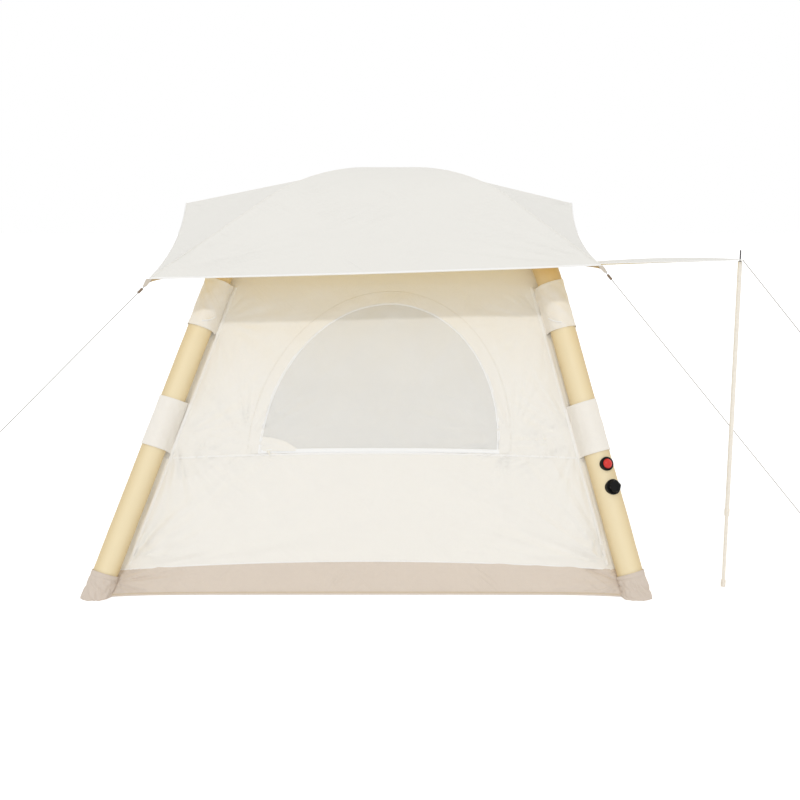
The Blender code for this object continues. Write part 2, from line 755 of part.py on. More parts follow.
def pole():
    """Spiked top section, clamp, and a lower section that slides up inside it."""
    steel, dark = (0.86, 0.82, 0.73), (0.05, 0.05, 0.05)
    top = awning_frame()
    ring_bore = SPIKE_RADIUS + SPIKE_CLEARANCE
    half = EYELET_DEPTH / 2
    eyelet = [(ring_bore, -half), (EYELET_RADIUS, -half), (EYELET_RADIUS, half), (ring_bore, half)]
    place("awning_eyelet", mesh_from(turned_ring(eyelet), "awning_eyelet"), (0.6, 0.58, 0.55), 0.35, 1.0, top)

    tube_top = -POLE_TOP_DROP
    bore = POLE_RADIUS - POLE_WALL
    plug = [
        (bore - GAP, tube_top - PLUG_DEPTH),
        (bore - GAP, tube_top + GAP),
        (POLE_RADIUS, tube_top + GAP),
        (POLE_RADIUS, tube_top + POLE_WALL),
        (SPIKE_RADIUS, tube_top + 2 * POLE_WALL),
        (SPIKE_RADIUS, SPIKE_RISE - 2 * SPIKE_RADIUS),
        (SPIKE_RADIUS / 2, SPIKE_RISE),
    ]
    place("pole_spike", mesh_from(turned(plug, POLE_SIDES), "pole_spike"), dark, 0.5, 0.0, top)

    joint = POLE_JOINT_HEIGHT - EYELET_HEIGHT
    tube = [(bore, joint), (POLE_RADIUS, joint), (POLE_RADIUS, tube_top), (bore, tube_top)]
    place("pole_upper_tube", mesh_from(turned_ring(tube, POLE_SIDES), "pole_upper_tube"), steel, 0.4, 0.0, top)

    sleeve_bore = POLE_RADIUS + GAP
    inner_radius = bore - SLIDE_CLEARANCE
    clamp_low = joint - CLAMP_HEIGHT / 2
    lip_bore = inner_radius + SLIDE_CLEARANCE
    clamp = [
        (lip_bore, clamp_low),
        (CLAMP_RADIUS, clamp_low),
        (CLAMP_RADIUS, clamp_low + CLAMP_HEIGHT),
        (sleeve_bore, clamp_low + CLAMP_HEIGHT),
        (sleeve_bore, joint - GAP),
        (lip_bore, joint - GAP),
    ]
    place("pole_clamp", mesh_from(turned_ring(clamp, POLE_SIDES), "pole_clamp"), steel, 0.5, 0.0, top)

    ground = Matrix.Translation((POLE_X, POLE_Y, 0))
    wall_inner = inner_radius - POLE_WALL
    tube_low, tube_high = FOOT_SOLE + GAP, POLE_JOINT_HEIGHT + INNER_LAP
    lower = turned_ring(
        [(wall_inner, tube_low), (inner_radius, tube_low), (inner_radius, tube_high), (wall_inner, tube_high)],
        POLE_SIDES,
    )
    place("pole_lower_tube", mesh_from(lower, "pole_lower_tube"), steel, 0.4, 0.0, ground)
    cup = inner_radius + GAP
    foot = [
        (FOOT_RADIUS, 0),
        (FOOT_RADIUS, FOOT_HEIGHT),
        (cup, FOOT_HEIGHT),
        (cup, FOOT_SOLE),
    ]
    place("pole_foot", mesh_from(turned(foot, POLE_SIDES), "pole_foot"), steel, 0.7, 0.0, ground)


# Guy lines


def cord(name, points):
    """A round cord through the points, with filled ends."""
    curve = bpy.data.curves.new(name, "CURVE")
    curve.dimensions = "3D"
    curve.bevel_depth = CORD_DIAMETER / 2
    curve.bevel_resolution = 2
    curve.use_fill_caps = True
    spline = curve.splines.new("POLY")
    spline.points.add(len(points) - 1)
    for point, place_at in zip(spline.points, points):
        point.co = (*place_at, 1)
    return place(name, curve, (0.78, 0.77, 0.75), 0.8)


def runner(name, guy):
    """A small block that grips the cord and slides along it to tighten it."""
    start, end = Vector(guy[0]), Vector(guy[1])
    direction = (end - start).normalized()
    frame = frame_along(start + direction * (RUNNER_START + RUNNER_LENGTH / 2), direction)
    bm = bmesh.new()
    bmesh.ops.create_cube(bm, size=1)
    bmesh.ops.scale(bm, vec=(RUNNER_WIDTH, RUNNER_DEPTH, RUNNER_LENGTH), verts=bm.verts)
    made = place(name, mesh_from(bm, name), (0.42, 0.33, 0.22), 0.6, 0.0, frame)
    chamfer(made, RUNNER_BEVEL)
    bore = turned([(RUNNER_BORE, -RUNNER_LENGTH), (RUNNER_BORE, RUNNER_LENGTH)])
    combine(made, cutter(name + "_bore", mesh_from(bore, name + "_bore"), frame), "DIFFERENCE")


def peg_hook(name, guy):
    """Bent wire at the outer end of a guy line: a shank in line with the cord, then a half turn."""
    start, end = Vector(guy[0]), Vector(guy[1])
    direction = (end - start).normalized()
    frame = frame_along(end + direction * GAP, direction)
    points = [Vector((0, 0, 0)), Vector((0, 0, HOOK_SHANK))]
    for step in range(1, EDGE_STEPS + 1):
        angle = pi * step / EDGE_STEPS
        points.append(Vector((0, HOOK_BEND * (1 - cos(angle)), HOOK_SHANK + HOOK_BEND * sin(angle))))
    points.append(points[-1] - Vector((0, 0, HOOK_BEND)))
    curve = bpy.data.curves.new(name, "CURVE")
    curve.dimensions = "3D"
    curve.bevel_depth = HOOK_WIRE_RADIUS
    curve.bevel_resolution = 2
    curve.use_fill_caps = True
    spline = curve.splines.new("POLY")
    spline.points.add(len(points) - 1)
    for point, place_at in zip(spline.points, points):
        point.co = (*place_at, 1)
    place(name, curve, (0.6, 0.6, 0.6), 0.35, 1.0, frame)


def guys():
    for name, guy in (("left", LEFT_GUY), ("right", RIGHT_GUY), ("pole", POLE_GUY)):
        cord("guy_line_" + name, [Vector(point) for point in guy])
        peg_hook("peg_hook_" + name, guy)
    runner("guy_runner_left", LEFT_GUY)
    runner("guy_runner_right", RIGHT_GUY)
    corner_tab("front_left", LEFT_GUY)
    corner_tab("front_right", RIGHT_GUY)


# Valves


def upright_frame(height):
    """Origin on the front right beam's axis, Y up the beam and Z out towards the valves, before it leans."""
    along = in_corner("front_right", LEG_DIRECTION)
    level = Vector((sin(VALVE_TURN), -cos(VALVE_TURN), 0))
    out = (level - along * level.dot(along)).normalized()
    turn = Matrix((along.cross(out), along, out)).transposed().to_4x4()
    return Matrix.Translation(in_corner("front_right", leg_point(height))) @ turn


def valve_frame(height):
    """The same on the leaning beam, its Z straight out through the valve."""
    upright = upright_frame(height)
    along = (LEANING.to_3x3() @ upright.col[1].xyz).normalized()
    level = upright.col[2].xyz
    out = (level - along * level.dot(along)).normalized()
    turn = Matrix((along.cross(out), along, out)).transposed().to_4x4()
    return Matrix.Translation(LEANING @ upright.translation) @ turn


def saddle_flange(name, bore, radius, proud, height, colour, roughness):
    """A round flange whose back follows the beam, and a neck that goes through the beam's skin."""
    frame = valve_frame(height)
    face = BEAM_RADIUS + proud
    rim = proud / 4
    flange = [
        (bore, BEAM_RADIUS - NECK_DEPTH),
        (radius, BEAM_RADIUS - NECK_DEPTH),
        (radius, face - rim),
        (radius - rim, face),
        (bore, face),
    ]
    made = place(name, mesh_from(turned_ring(flange), name), colour, roughness, 0.0, frame)
    inside = turned([(BEAM_RADIUS + GAP, -CUTTER_OVERRUN), (BEAM_RADIUS + GAP, CUTTER_OVERRUN)], BEAM_SIDES)
    beam_shape = mesh_from(inside, name + "_beam")
    beam_shape.transform(LEANING @ upright_frame(height) @ Matrix.Rotation(pi / 2, 4, "X"))
    combine(made, cutter(name + "_beam", beam_shape, Matrix()), "DIFFERENCE")
    low, high = BEAM_RADIUS - NECK_DEPTH, BEAM_RADIUS + proud / 2
    neck = turned_ring([(bore, low), (bore + NECK_WALL, low), (bore + NECK_WALL, high), (bore, high)])
    combine(made, cutter(name + "_neck", mesh_from(neck, name + "_neck"), frame), "UNION")
    outside = bore + NECK_WALL + GAP
    hole = turned([(outside, 0), (outside, BEAM_RADIUS + CUTTER_OVERRUN)])
    beam = bpy.data.objects["beam_front_right"]
    combine(beam, cutter(name + "_hole", mesh_from(hole, name + "_hole"), frame), "DIFFERENCE")


def relief_valve():
    """Lets air out above its set pressure. The red dome is pressed in to let it out by hand."""
    frame = valve_frame(RELIEF_HEIGHT)
    bore = RELIEF_BUTTON_RADIUS + VALVE_CLEARANCE
    black = (0.03, 0.03, 0.03)
    saddle_flange("relief_valve_body", bore, RELIEF_RADIUS, RELIEF_PROUD, RELIEF_HEIGHT, black, 0.35)
    edge = BEAM_RADIUS + RELIEF_PROUD
    profile = [(RELIEF_BUTTON_RADIUS, edge - RELIEF_PROUD), (RELIEF_BUTTON_RADIUS, edge)]
    for step in range(1, EDGE_STEPS):
        angle = pi / 2 * step / EDGE_STEPS
        profile.append((RELIEF_BUTTON_RADIUS * cos(angle), edge + RELIEF_BUTTON_PROUD * sin(angle)))
    dome = turned(profile)
    place("relief_valve_button", mesh_from(dome, "relief_valve_button"), (0.62, 0.05, 0.04), 0.3, 0.0, frame)


def lobed(radius, height):
    """Points round a knob's edge, drawn in between its lobes."""
    points = []
    for step in range(2 * ROUND_SIDES):
        angle = pi * step / ROUND_SIDES
        reach = radius - CAP_LOBE_DEPTH * (1 - cos(CAP_LOBES * angle)) / 2
        points.append(Vector((reach * cos(angle), reach * sin(angle), height)))
    return points


def inflation_valve():
    """The pump connects here. Its cap is a lobed knob on a stem, turned to lock."""
    frame = valve_frame(INFLATION_HEIGHT)
    bore = CAP_STEM_RADIUS + VALVE_CLEARANCE
    black = (0.02, 0.02, 0.02)
    height = INFLATION_HEIGHT
    saddle_flange("inflation_valve_body", bore, INFLATION_RADIUS, INFLATION_PROUD, height, black, 0.35)
    seat = BEAM_RADIUS + INFLATION_PROUD + GAP
    top = seat + CAP_HEIGHT
    bm = bmesh.new()
    round_share = 0.94
    rounded = CAP_RADIUS * round_share
    loft(bm, [lobed(CAP_RADIUS, seat), lobed(CAP_RADIUS, top - CAP_SEAT), lobed(rounded, top)])
    cap = place("inflation_valve_cap", mesh_from(bm, "inflation_valve_cap"), black, 0.4, 0.0, frame)
    stem_low = seat - INFLATION_PROUD - CAP_SEAT
    stem = turned([(CAP_STEM_RADIUS, stem_low), (CAP_STEM_RADIUS, seat + CAP_SEAT)])
    combine(cap, cutter("cap_stem", mesh_from(stem, "cap_stem"), frame), "UNION")
    low = BEAM_RADIUS - NECK_DEPTH + GAP
    flap = turned([(bore - GAP, low), (bore - GAP, low + BEAM_SKIN)])
    place("inflation_valve_flap", mesh_from(flap, "inflation_valve_flap"), (0.1, 0.1, 0.1), 0.6, 0.0, frame)


def zip_slider():
    """Runs along the window's sill on the zip band."""
    frame = wall_frame("front", GAP + BINDING_SHEET + GAP + SLIDER_DEPTH / 2)
    across = WINDOW_SHIFT - WINDOW_HALF_WIDTH + SLIDER_MARGIN + SLIDER_LENGTH / 2
    frame = frame @ Matrix.Translation((across, WINDOW_SILL - BINDING_WIDTH / 2, 0))
    frame.translation = LEANING @ frame.translation
    bm = bmesh.new()
    bmesh.ops.create_cube(bm, size=1)
    bmesh.ops.scale(bm, vec=(SLIDER_LENGTH, SLIDER_WIDTH, SLIDER_DEPTH), verts=bm.verts)
    made = place("window_zip_slider", mesh_from(bm, "window_zip_slider"), (0.8, 0.78, 0.74), 0.4, 0.0, frame)
    chamfer(made, SLIDER_BEVEL)


def main():
    for corner in CORNERS:
        air_beam(corner)
        wrap("mid_sleeve_" + corner, corner, MID_SLEEVE_LOW, MID_SLEEVE_HIGH, CREAM)
        wrap("upper_sleeve_" + corner, corner, UPPER_SLEEVE_LOW, UPPER_SLEEVE_HIGH, CREAM)
        boot(corner)
    crown_hub()
    groundsheet()
    walls()
    for side in ("front", "rear"):
        window(side)
    doorway()
    ceiling()
    fly()
    awning()
    pole()
    guys()
    relief_valve()
    inflation_valve()
    zip_slider()


main()
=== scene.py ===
"""Inflatable tent: the cloth, air beams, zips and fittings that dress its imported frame.

Metres, +Z up. The window wall faces -Y and the doorway faces +X.
"""

from math import acos, atan, atan2, cos, exp, hypot, pi, radians, sin, sqrt

import bmesh
import bpy
from mathutils import Matrix, Vector, noise
from mathutils.geometry import interpolate_bezier


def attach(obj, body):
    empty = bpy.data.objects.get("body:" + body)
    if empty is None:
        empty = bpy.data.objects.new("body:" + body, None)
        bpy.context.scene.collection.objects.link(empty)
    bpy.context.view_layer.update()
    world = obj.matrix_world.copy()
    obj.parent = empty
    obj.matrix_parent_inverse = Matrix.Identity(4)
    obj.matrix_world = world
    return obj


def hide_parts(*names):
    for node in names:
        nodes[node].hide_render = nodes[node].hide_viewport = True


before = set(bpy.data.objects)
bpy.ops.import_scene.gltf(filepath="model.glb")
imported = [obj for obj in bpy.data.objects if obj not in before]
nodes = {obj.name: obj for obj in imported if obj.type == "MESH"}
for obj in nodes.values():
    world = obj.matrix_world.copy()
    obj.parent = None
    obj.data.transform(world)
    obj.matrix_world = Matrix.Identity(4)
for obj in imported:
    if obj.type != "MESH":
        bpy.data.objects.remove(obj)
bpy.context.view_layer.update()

# Camera
# Eye height, almost 5 m in front of the window wall, looking a little down.
# The lens gives the photograph's frame of 800 by 800.

eye = bpy.data.cameras.new("photo_camera")
eye.lens = 51.93
eye.sensor_width = 36
camera = bpy.data.objects.new("photo_camera", eye)
camera.location = (0.143, -5.84, 1.70)
camera.rotation_euler = (radians(79.7), 0, 0)
bpy.context.scene.collection.objects.link(camera)
bpy.context.scene.camera = camera

# Guy lines
# Braided polyester cord, 3 mm thick, from a tab at each front corner of the fly and from the pole's
# top. Each is pulled taut to a wire hook just outside the view, and two have moulded runners. They
# hold the whole tent leaning 55 mm to the right per metre, so `dress` leans what is laid upright.

UP = Vector((0, 0, 1))
MERGE = 0.00001
CORD_RADIUS = 0.0015
GUYS = {
    "left": (Vector((-0.921, -1.030, 1.306)), Vector((-1.495, -1.366, 0.706))),
    "right": (Vector((0.998, -1.030, 1.364)), Vector((1.936, -0.9465, 0.262))),
    "pole": (Vector((1.561, -1.042, 1.4155)), Vector((1.798, -1.208, 1.0895))),
}
GUY_BODIES = {"left": "runner_left", "right": "runner_right"}
SIDE_LEAN = 0.055
LEANING = Matrix.Identity(4)
LEANING[0][2] = SIDE_LEAN


def ink(red, green, blue):
    """A colour given as a screen shows it, 0 to 255 each, made linear."""
    shares = [value / 255 for value in (red, green, blue)]
    linear = [share / 12.92 if share <= 0.04045 else ((share + 0.055) / 1.055) ** 2.4 for share in shares]
    return (*linear, 1)


def add(tree, kind, sockets=(), **settings):
    """A shader node with its settings, and its sockets given as values or as other nodes' outputs."""
    made = tree.nodes.new(kind)
    for name, value in settings.items():
        setattr(made, name, value)
    for socket, value in dict(sockets).items():
        if isinstance(value, bpy.types.NodeSocket):
            tree.links.new(value, made.inputs[socket])
        else:
            made.inputs[socket].default_value = value
    return made


def number(tree, operation, *values):
    made = add(tree, "ShaderNodeMath", dict(enumerate(values)), operation=operation)
    return made.outputs[0]


def blend_colours(tree, share, low, high):
    return add(tree, "ShaderNodeMix", {0: share, 6: low, 7: high}, data_type="RGBA").outputs[2]


def socket_name(keyword):
    """A shader socket's name from a keyword, as in base_color."""
    return keyword.replace("_", " ").title().replace("Ior", "IOR")


def new_finish(name, roughness, metallic=0.0, **sockets):
    """A material and its Principled shader, with the values that are the same all over it."""
    material = bpy.data.materials.new(name)
    material.use_nodes = True
    shader = material.node_tree.nodes["Principled BSDF"]
    for keyword, value in {"roughness": roughness, "metallic": metallic, **sockets}.items():
        shader.inputs[socket_name(keyword)].default_value = value
    return material, material.node_tree, shader


def bump(tree, height, depth, normal=None):
    """Height, 0 to 1, raised by `depth` in metres over another bump's normal."""
    below = {} if normal is None else {"Normal": normal}
    made = add(tree, "ShaderNodeBump", {"Height": height, "Distance": depth, "Strength": 1.0, **below})
    return made.outputs["Normal"]


def give(tree, shader, **sockets):
    """Links outputs to a shader's sockets, as in base_color=shade."""
    for keyword, output in sockets.items():
        tree.links.new(output, shader.inputs[socket_name(keyword)])


def raise_and_shade(tree, shader, height, low, high, depth):
    """Colours and raises a surface by one height, 0 to 1, with its low parts painted darker as the shade in its
    grooves.
    """
    give(tree, shader, base_color=blend_colours(tree, height, low, high), normal=bump(tree, height, depth))


def dim(colour, share):
    return [value * share for value in colour[:3]] + [1]


def on_cloth(tree):
    """Where a point lies on the piece's flat cloth, in metres."""
    return add(tree, "ShaderNodeUVMap", uv_map="cut").outputs[0]


def on_piece(tree):
    return add(tree, "ShaderNodeTexCoord").outputs["Object"]


def axes_of(tree, place):
    return add(tree, "ShaderNodeSeparateXYZ", {0: place}).outputs


def waves(tree, axis, pitch):
    """A sine along an axis, with one wave every `pitch` metres."""
    return number(tree, "SINE", number(tree, "MULTIPLY", axis, 2 * pi / pitch))


def new_group(name, inputs, outputs):
    """An empty shader node group with its named inputs, and outputs that are all numbers."""
    tree = bpy.data.node_groups.new(name, "ShaderNodeTree")
    for socket, kind in inputs.items():
        tree.interface.new_socket(socket, in_out="INPUT", socket_type="NodeSocket" + kind)
    for socket in outputs:
        tree.interface.new_socket(socket, in_out="OUTPUT", socket_type="NodeSocketFloat")
    return tree, add(tree, "NodeGroupInput").outputs


def laid_grid(across, along, place, cut):
    """A grid whose corners move to place(share across, share along). `cut` gives their place on the flat cloth."""
    bm = bmesh.new()
    flat = bm.loops.layers.uv.new("cut")
    bmesh.ops.create_grid(bm, x_segments=across, y_segments=along, size=0.5)
    for face in bm.faces:
        for loop in face.loops:
            loop[flat].uv = cut(loop.vert.co.x + 0.5, loop.vert.co.y + 0.5)
    for vert in bm.verts:
        vert.co = place(vert.co.x + 0.5, vert.co.y + 0.5)
    return bm


def dress(bm, name, finish, stands_for=(), away_from=None, smooth=60, leans=True, body="tent"):
    """Turns a mesh into a piece, its faces outwards, hides the parts it stands for and hangs it on the body it rides
    on.
    """
    bmesh.ops.remove_doubles(bm, verts=bm.verts, dist=MERGE)
    bmesh.ops.dissolve_degenerate(bm, edges=bm.edges, dist=0.000001)
    if away_from is None:
        bmesh.ops.recalc_face_normals(bm, faces=bm.faces)
    else:
        out = sum(face.normal.dot(face.calc_center_median() - away_from) * face.calc_area() for face in bm.faces)
        if out < 0:
            bmesh.ops.reverse_faces(bm, faces=bm.faces)
    if leans:
        bmesh.ops.transform(bm, matrix=LEANING, verts=bm.verts)
    for face in bm.faces:
        face.smooth = True
    for edge in bm.edges:
        edge.smooth = edge.is_manifold and edge.calc_face_angle(0) < radians(smooth)
    mesh = bpy.data.meshes.new(name)
    bm.to_mesh(mesh)
    bm.free()
    piece = bpy.data.objects.new(name, mesh)
    bpy.context.scene.collection.objects.link(piece)
    piece.data.materials.append(finish)
    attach(piece, body)
    if stands_for:
        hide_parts(*stands_for)
    return piece


def lengths_along(points):
    """How far along its line each point lies."""
    lengths = [0.0]
    for before, after in zip(points, points[1:]):
        lengths.append(lengths[-1] + (after - before).length)
    return lengths


def way_at(points, index):
    """Which way a line runs at one of its points. A last point that is also the first closes the line."""
    last = len(points) - 1
    if index in (0, last) and (points[0] - points[-1]).length < MERGE:
        return (points[1] - points[-2]).normalized()
    return (points[min(index + 1, last)] - points[max(index - 1, 0)]).normalized()


def close_round(bm):
    """Joins a grid that is rolled round along its seam, and fills its ends if they are open."""
    bmesh.ops.remove_doubles(bm, verts=bm.verts, dist=MERGE)
    ends = [edge for edge in bm.edges if edge.is_boundary]
    if ends:
        bmesh.ops.holes_fill(bm, edges=ends, sides=0)
    return bm


def tube_along(centres, sideways, radius_at, sides):
    """A round tube through `centres`. `sideways` is square to it at each one, and radius_at takes (turn, index)."""
    last = len(centres) - 1
    lengths = lengths_along(centres)
    ways = [way_at(centres, index) for index in range(last + 1)]

    def place(across, along):
        index = round(along * last)
        turn = 2 * pi * across
        side = sideways[index]
        third = side.cross(ways[index])
        return centres[index] + (cos(turn) * side + sin(turn) * third) * radius_at(turn, index)

    girth = 2 * pi * radius_at(0, last // 2)
    return close_round(
        laid_grid(sides, last, place, lambda across, along: (across * girth, lengths[round(along * last)]))
    )


def even_shares(steps):
    return [step / steps for step in range(steps + 1)]


def straight(start, end, steps):
    return [start.lerp(end, share) for share in even_shares(steps)]


def flat_size(width, height):
    """Where the shares across and along a rectangular cloth lie on it."""
    return lambda across, along: (across * width, along * height)


def woven_threads():
    """Plain weave: threads that pass over and under each other, and the slight unevenness of their yarn."""
    tree, given = new_group("woven_threads", {"Cut": "Vector", "Threads": "Float"}, ("Height", "Yarn"))
    threads = []
    for axis in ("X", "Y"):
        turns = number(tree, "MULTIPLY", axes_of(tree, given["Cut"])[axis], given["Threads"])
        threads.append(number(tree, "SINE", number(tree, "MULTIPLY", turns, pi)))
    over = number(tree, "MULTIPLY", *threads)
    height = number(tree, "MULTIPLY_ADD", over, 0.5, 0.5)
    yarns = []
    for stretch in ((1, 0.03, 1), (0.03, 1, 1)):
        drawn = add(tree, "ShaderNodeMapping", {"Vector": given["Cut"], "Scale": stretch})
        yarn = add(tree, "ShaderNodeTexNoise", {"Vector": drawn.outputs[0], "Scale": 260.0, "Detail": 1.0})
        yarns.append(yarn.outputs[0])
    mixed = number(tree, "MULTIPLY", number(tree, "ADD", *yarns), 0.5)
    add(tree, "NodeGroupOutput", {"Height": height, "Yarn": mixed})
    return tree


weave_group = woven_threads()
WEAVE_DEPTH = 0.00012

braid, tree, shader = new_finish("braided_cord", 0.75, sheen_weight=0.2)
axes = axes_of(tree, on_cloth(tree))
lay = number(tree, "MULTIPLY", axes["X"], 1 / (2 * pi * CORD_RADIUS))
pitch = number(tree, "MULTIPLY", axes["Y"], 1 / 0.006)
strands = []
for way in (1, -1):
    turn = number(tree, "MULTIPLY_ADD", pitch, way, lay)
    strands.append(number(tree, "SINE", number(tree, "MULTIPLY", turn, 4 * 2 * pi)))
crossing = number(tree, "MULTIPLY_ADD", number(tree, "MULTIPLY", *strands), 0.5, 0.5)
# Painted shade: the grooves between the braid's strands are darker.
raise_and_shade(tree, shader, crossing, ink(142, 137, 128), ink(184, 179, 171), 0.0003)


def cast_finish(name, colour, roughness, metallic=0.0, grain=0.00005, spread=0.06, scale=900.0, **sockets):
    """Moulded plastic, painted or bare metal: a fine skin, and wear that shows as lighter, duller patches."""
    material, tree, shader = new_finish(name, roughness, metallic, **sockets)
    place = on_piece(tree)
    fine = add(tree, "ShaderNodeTexNoise", {"Vector": place, "Scale": scale, "Detail": 2.0}).outputs[0]
    broad = add(tree, "ShaderNodeTexNoise", {"Vector": place, "Scale": scale / 12, "Detail": 3.0}).outputs[0]
    lighter = [min(1, value * 1.25 + 0.01) for value in colour[:3]] + [1]
    shade = blend_colours(tree, broad, colour, lighter)
    dull = number(tree, "MULTIPLY_ADD", broad, spread, roughness - spread / 2)
    give(tree, shader, base_color=shade, roughness=dull, normal=bump(tree, fine, grain))
    return material


def repaint(finish, *names):
    """Gives CAD nodes their finish."""
    for name in names:
        slots = nodes[name].material_slots
        for slot in slots:
            slot.material = finish
        if not slots:
            nodes[name].data.materials.append(finish)


hook_steel = cast_finish("hook_steel", ink(176, 176, 178), 0.32, 1.0, spread=0.14, scale=1400.0)
runner_plastic = cast_finish("runner_plastic", ink(124, 104, 84), 0.5)

RUNNER_LENGTH = 0.026
RUNNER_WIDTH = 0.013
RUNNER_DEPTH = 0.009
RUNNER_START = 0.012


def frame_on(start, way):
    """A matrix at `start` with Z along `way` and X level."""
    z_axis = way.normalized()
    x_axis = UP.cross(z_axis).normalized()
    turn = Matrix((x_axis, z_axis.cross(x_axis), z_axis)).transposed().to_4x4()
    return Matrix.Translation(start) @ turn


def guy_runner(side):
    """A waisted block with an eye for the cord at each end."""
    start, end = GUYS[side]
    way = (end - start).normalized()
    bm = bmesh.new()
    bmesh.ops.create_cube(bm, size=1)
    bmesh.ops.scale(bm, vec=(RUNNER_WIDTH, RUNNER_DEPTH, RUNNER_LENGTH), verts=bm.verts)
    long_edges = [edge for edge in bm.edges if abs((edge.verts[0].co - edge.verts[1].co).z) > RUNNER_DEPTH]
    bmesh.ops.subdivide_edges(bm, edges=long_edges, cuts=6, use_grid_fill=True)
    for vert in bm.verts:
        waist = 1 - 0.28 * cos(pi * vert.co.z / RUNNER_LENGTH) ** 2
        vert.co.x *= waist
    edges = [edge for edge in bm.edges if edge.calc_face_angle(0) > radians(50)]
    bmesh.ops.bevel(
        bm, geom=edges, offset=0.0018, segments=3, profile=0.5, affect="EDGES", material=-1, clamp_overlap=True
    )
    bmesh.ops.transform(bm, matrix=frame_on(start + way * (RUNNER_START + RUNNER_LENGTH / 2), way), verts=bm.verts)
    name, body = "guy_runner_" + side, GUY_BODIES[side]
    return dress(bm, name + "_moulding", runner_plastic, [name], smooth=40, leans=False, body=body)


for side, (start, end) in GUYS.items():
    way = (end - start).normalized()
    centres = straight(start, end, round((end - start).length / 0.03))
    sideways = [UP.cross(way).normalized()] * len(centres)
    bm = tube_along(centres, sideways, lambda turn, index: CORD_RADIUS, 10)
    line = dress(bm, f"guy_cord_{side}", braid, [f"guy_line_{side}"], leans=False)
    repaint(hook_steel, f"peg_hook_{side}")
    if side in GUY_BODIES:
        guy_runner(side)

# Air beams
# Four tubes of coated yellow cloth, 110 mm across and pumped hard, that rise from the corners, bend
# over and meet in a four-way hub. Each cover is cut in one length and closed by a seam that faces the
# inside, and it creases on the inner side of the bend.

FOOT_HALF = 1.15
SHOULDER_HALF = 0.733
SHOULDER_HEIGHT = 1.30
CROWN_HEIGHT = 1.754
HUB_REACH = 0.12
SHOULDER_PULL = 0.30
CROWN_PULL = 0.42
BEAM_RADIUS = 0.055
GAP = 0.0003
SOLE = 0.002
LEAN = atan((FOOT_HALF - SHOULDER_HALF) / SHOULDER_HEIGHT)
FOOT_POINT = Vector((FOOT_HALF * sqrt(2), 0))
SHOULDER_POINT = Vector((SHOULDER_HALF * sqrt(2), SHOULDER_HEIGHT))
LEG_WAY = (SHOULDER_POINT - FOOT_POINT).normalized()
OUTWARD = Vector((1, -1, 0)).normalized()
SIDEWAYS = UP.cross(OUTWARD)
CORNER_TURNS = {"front_right": 0, "rear_right": pi / 2, "rear_left": pi, "front_left": -pi / 2}


def soft_cloth():
    """Small dents and soft creases that handled cloth keeps, and faint patches of another tone."""
    tree, given = new_group("soft_cloth", {"Place": "Vector", "Scale": "Float"}, ("Height", "Tone"))
    shared = {"Vector": given["Place"], "Scale": given["Scale"]}
    dents = add(tree, "ShaderNodeTexNoise", {**shared, "Detail": 3.0, "Distortion": 0.4})
    creases = add(
        tree,
        "ShaderNodeTexNoise",
        {**shared, "Detail": 2.0, "Roughness": 0.4, "Offset": 0.9, "Gain": 1.6},
        noise_type="RIDGED_MULTIFRACTAL",
        normalize=True,
    )
    patches = add(tree, "ShaderNodeTexNoise", {"Vector": given["Place"], "Scale": 5.0, "Detail": 4.0})
    height = number(tree, "MULTIPLY_ADD", creases.outputs[0], 0.3, number(tree, "MULTIPLY", dents.outputs[0], 0.7))
    add(tree, "NodeGroupOutput", {"Height": height, "Tone": patches.outputs[0]})
    return tree


soft_group = soft_cloth()


def drawn_creases():
    """Fine straight creases that taut cloth keeps, slanting both ways and fading in and out."""
    tree, given = new_group("drawn_creases", {"Cut": "Vector"}, ("Height",))
    total = None
    for turn, start in ((-52, 0), (40, 5)):
        turned = {"Rotation": (0, 0, radians(turn)), "Location": (start, start, 0)}
        laid = add(tree, "ShaderNodeMapping", {"Vector": given["Cut"], **turned})
        long = add(tree, "ShaderNodeMapping", {"Vector": laid.outputs[0], "Scale": (3, 34, 1)})
        line = add(tree, "ShaderNodeTexNoise", {"Vector": long.outputs[0], "Scale": 1.0, "Detail": 1.0}).outputs[0]
        where = add(tree, "ShaderNodeTexNoise", {"Vector": laid.outputs[0], "Scale": 3.4, "Detail": 1.0}).outputs[0]
        off = number(tree, "ABSOLUTE", number(tree, "MULTIPLY_ADD", line, 2.0, -1.0))
        ridge = number(tree, "POWER", number(tree, "SUBTRACT", 1.0, off), 6.0)
        shown = add(tree, "ShaderNodeMapRange", {0: where, 1: 0.50, 2: 0.72}).outputs[0]
        part = number(tree, "MULTIPLY", ridge, shown)
        total = part if total is None else number(tree, "ADD", total, part)
    add(tree, "NodeGroupOutput", {"Height": total})
    return tree


crease_group = drawn_creases()


def soft_at(tree, scale):
    return add(tree, "ShaderNodeGroup", {"Place": on_piece(tree), "Scale": scale}, node_tree=soft_group).outputs


def woven_at(tree, threads):
    return add(tree, "ShaderNodeGroup", {"Cut": on_cloth(tree), "Threads": threads}, node_tree=weave_group).outputs


def cloth_finish(name, colour, roughness, threads=1100.0, dents=0.0016, scale=22.0, tone=0.93, drawn=0.0, **extra):
    """Woven cloth: its threads, its dents and creases, and a faint change of tone over the piece."""
    material, tree, shader = new_finish(name, roughness, **extra)
    woven, soft = woven_at(tree, threads), soft_at(tree, scale)
    share = number(tree, "MULTIPLY", number(tree, "ADD", soft["Tone"], woven["Yarn"]), 0.5)
    surface = bump(tree, soft["Height"], dents)
    if drawn:
        creased = add(tree, "ShaderNodeGroup", {"Cut": on_cloth(tree)}, node_tree=crease_group).outputs
        surface = bump(tree, creased["Height"], drawn, surface)
    surface = bump(tree, woven["Height"], WEAVE_DEPTH, surface)
    give(tree, shader, base_color=blend_colours(tree, share, dim(colour, tone), colour), normal=surface)
    return material


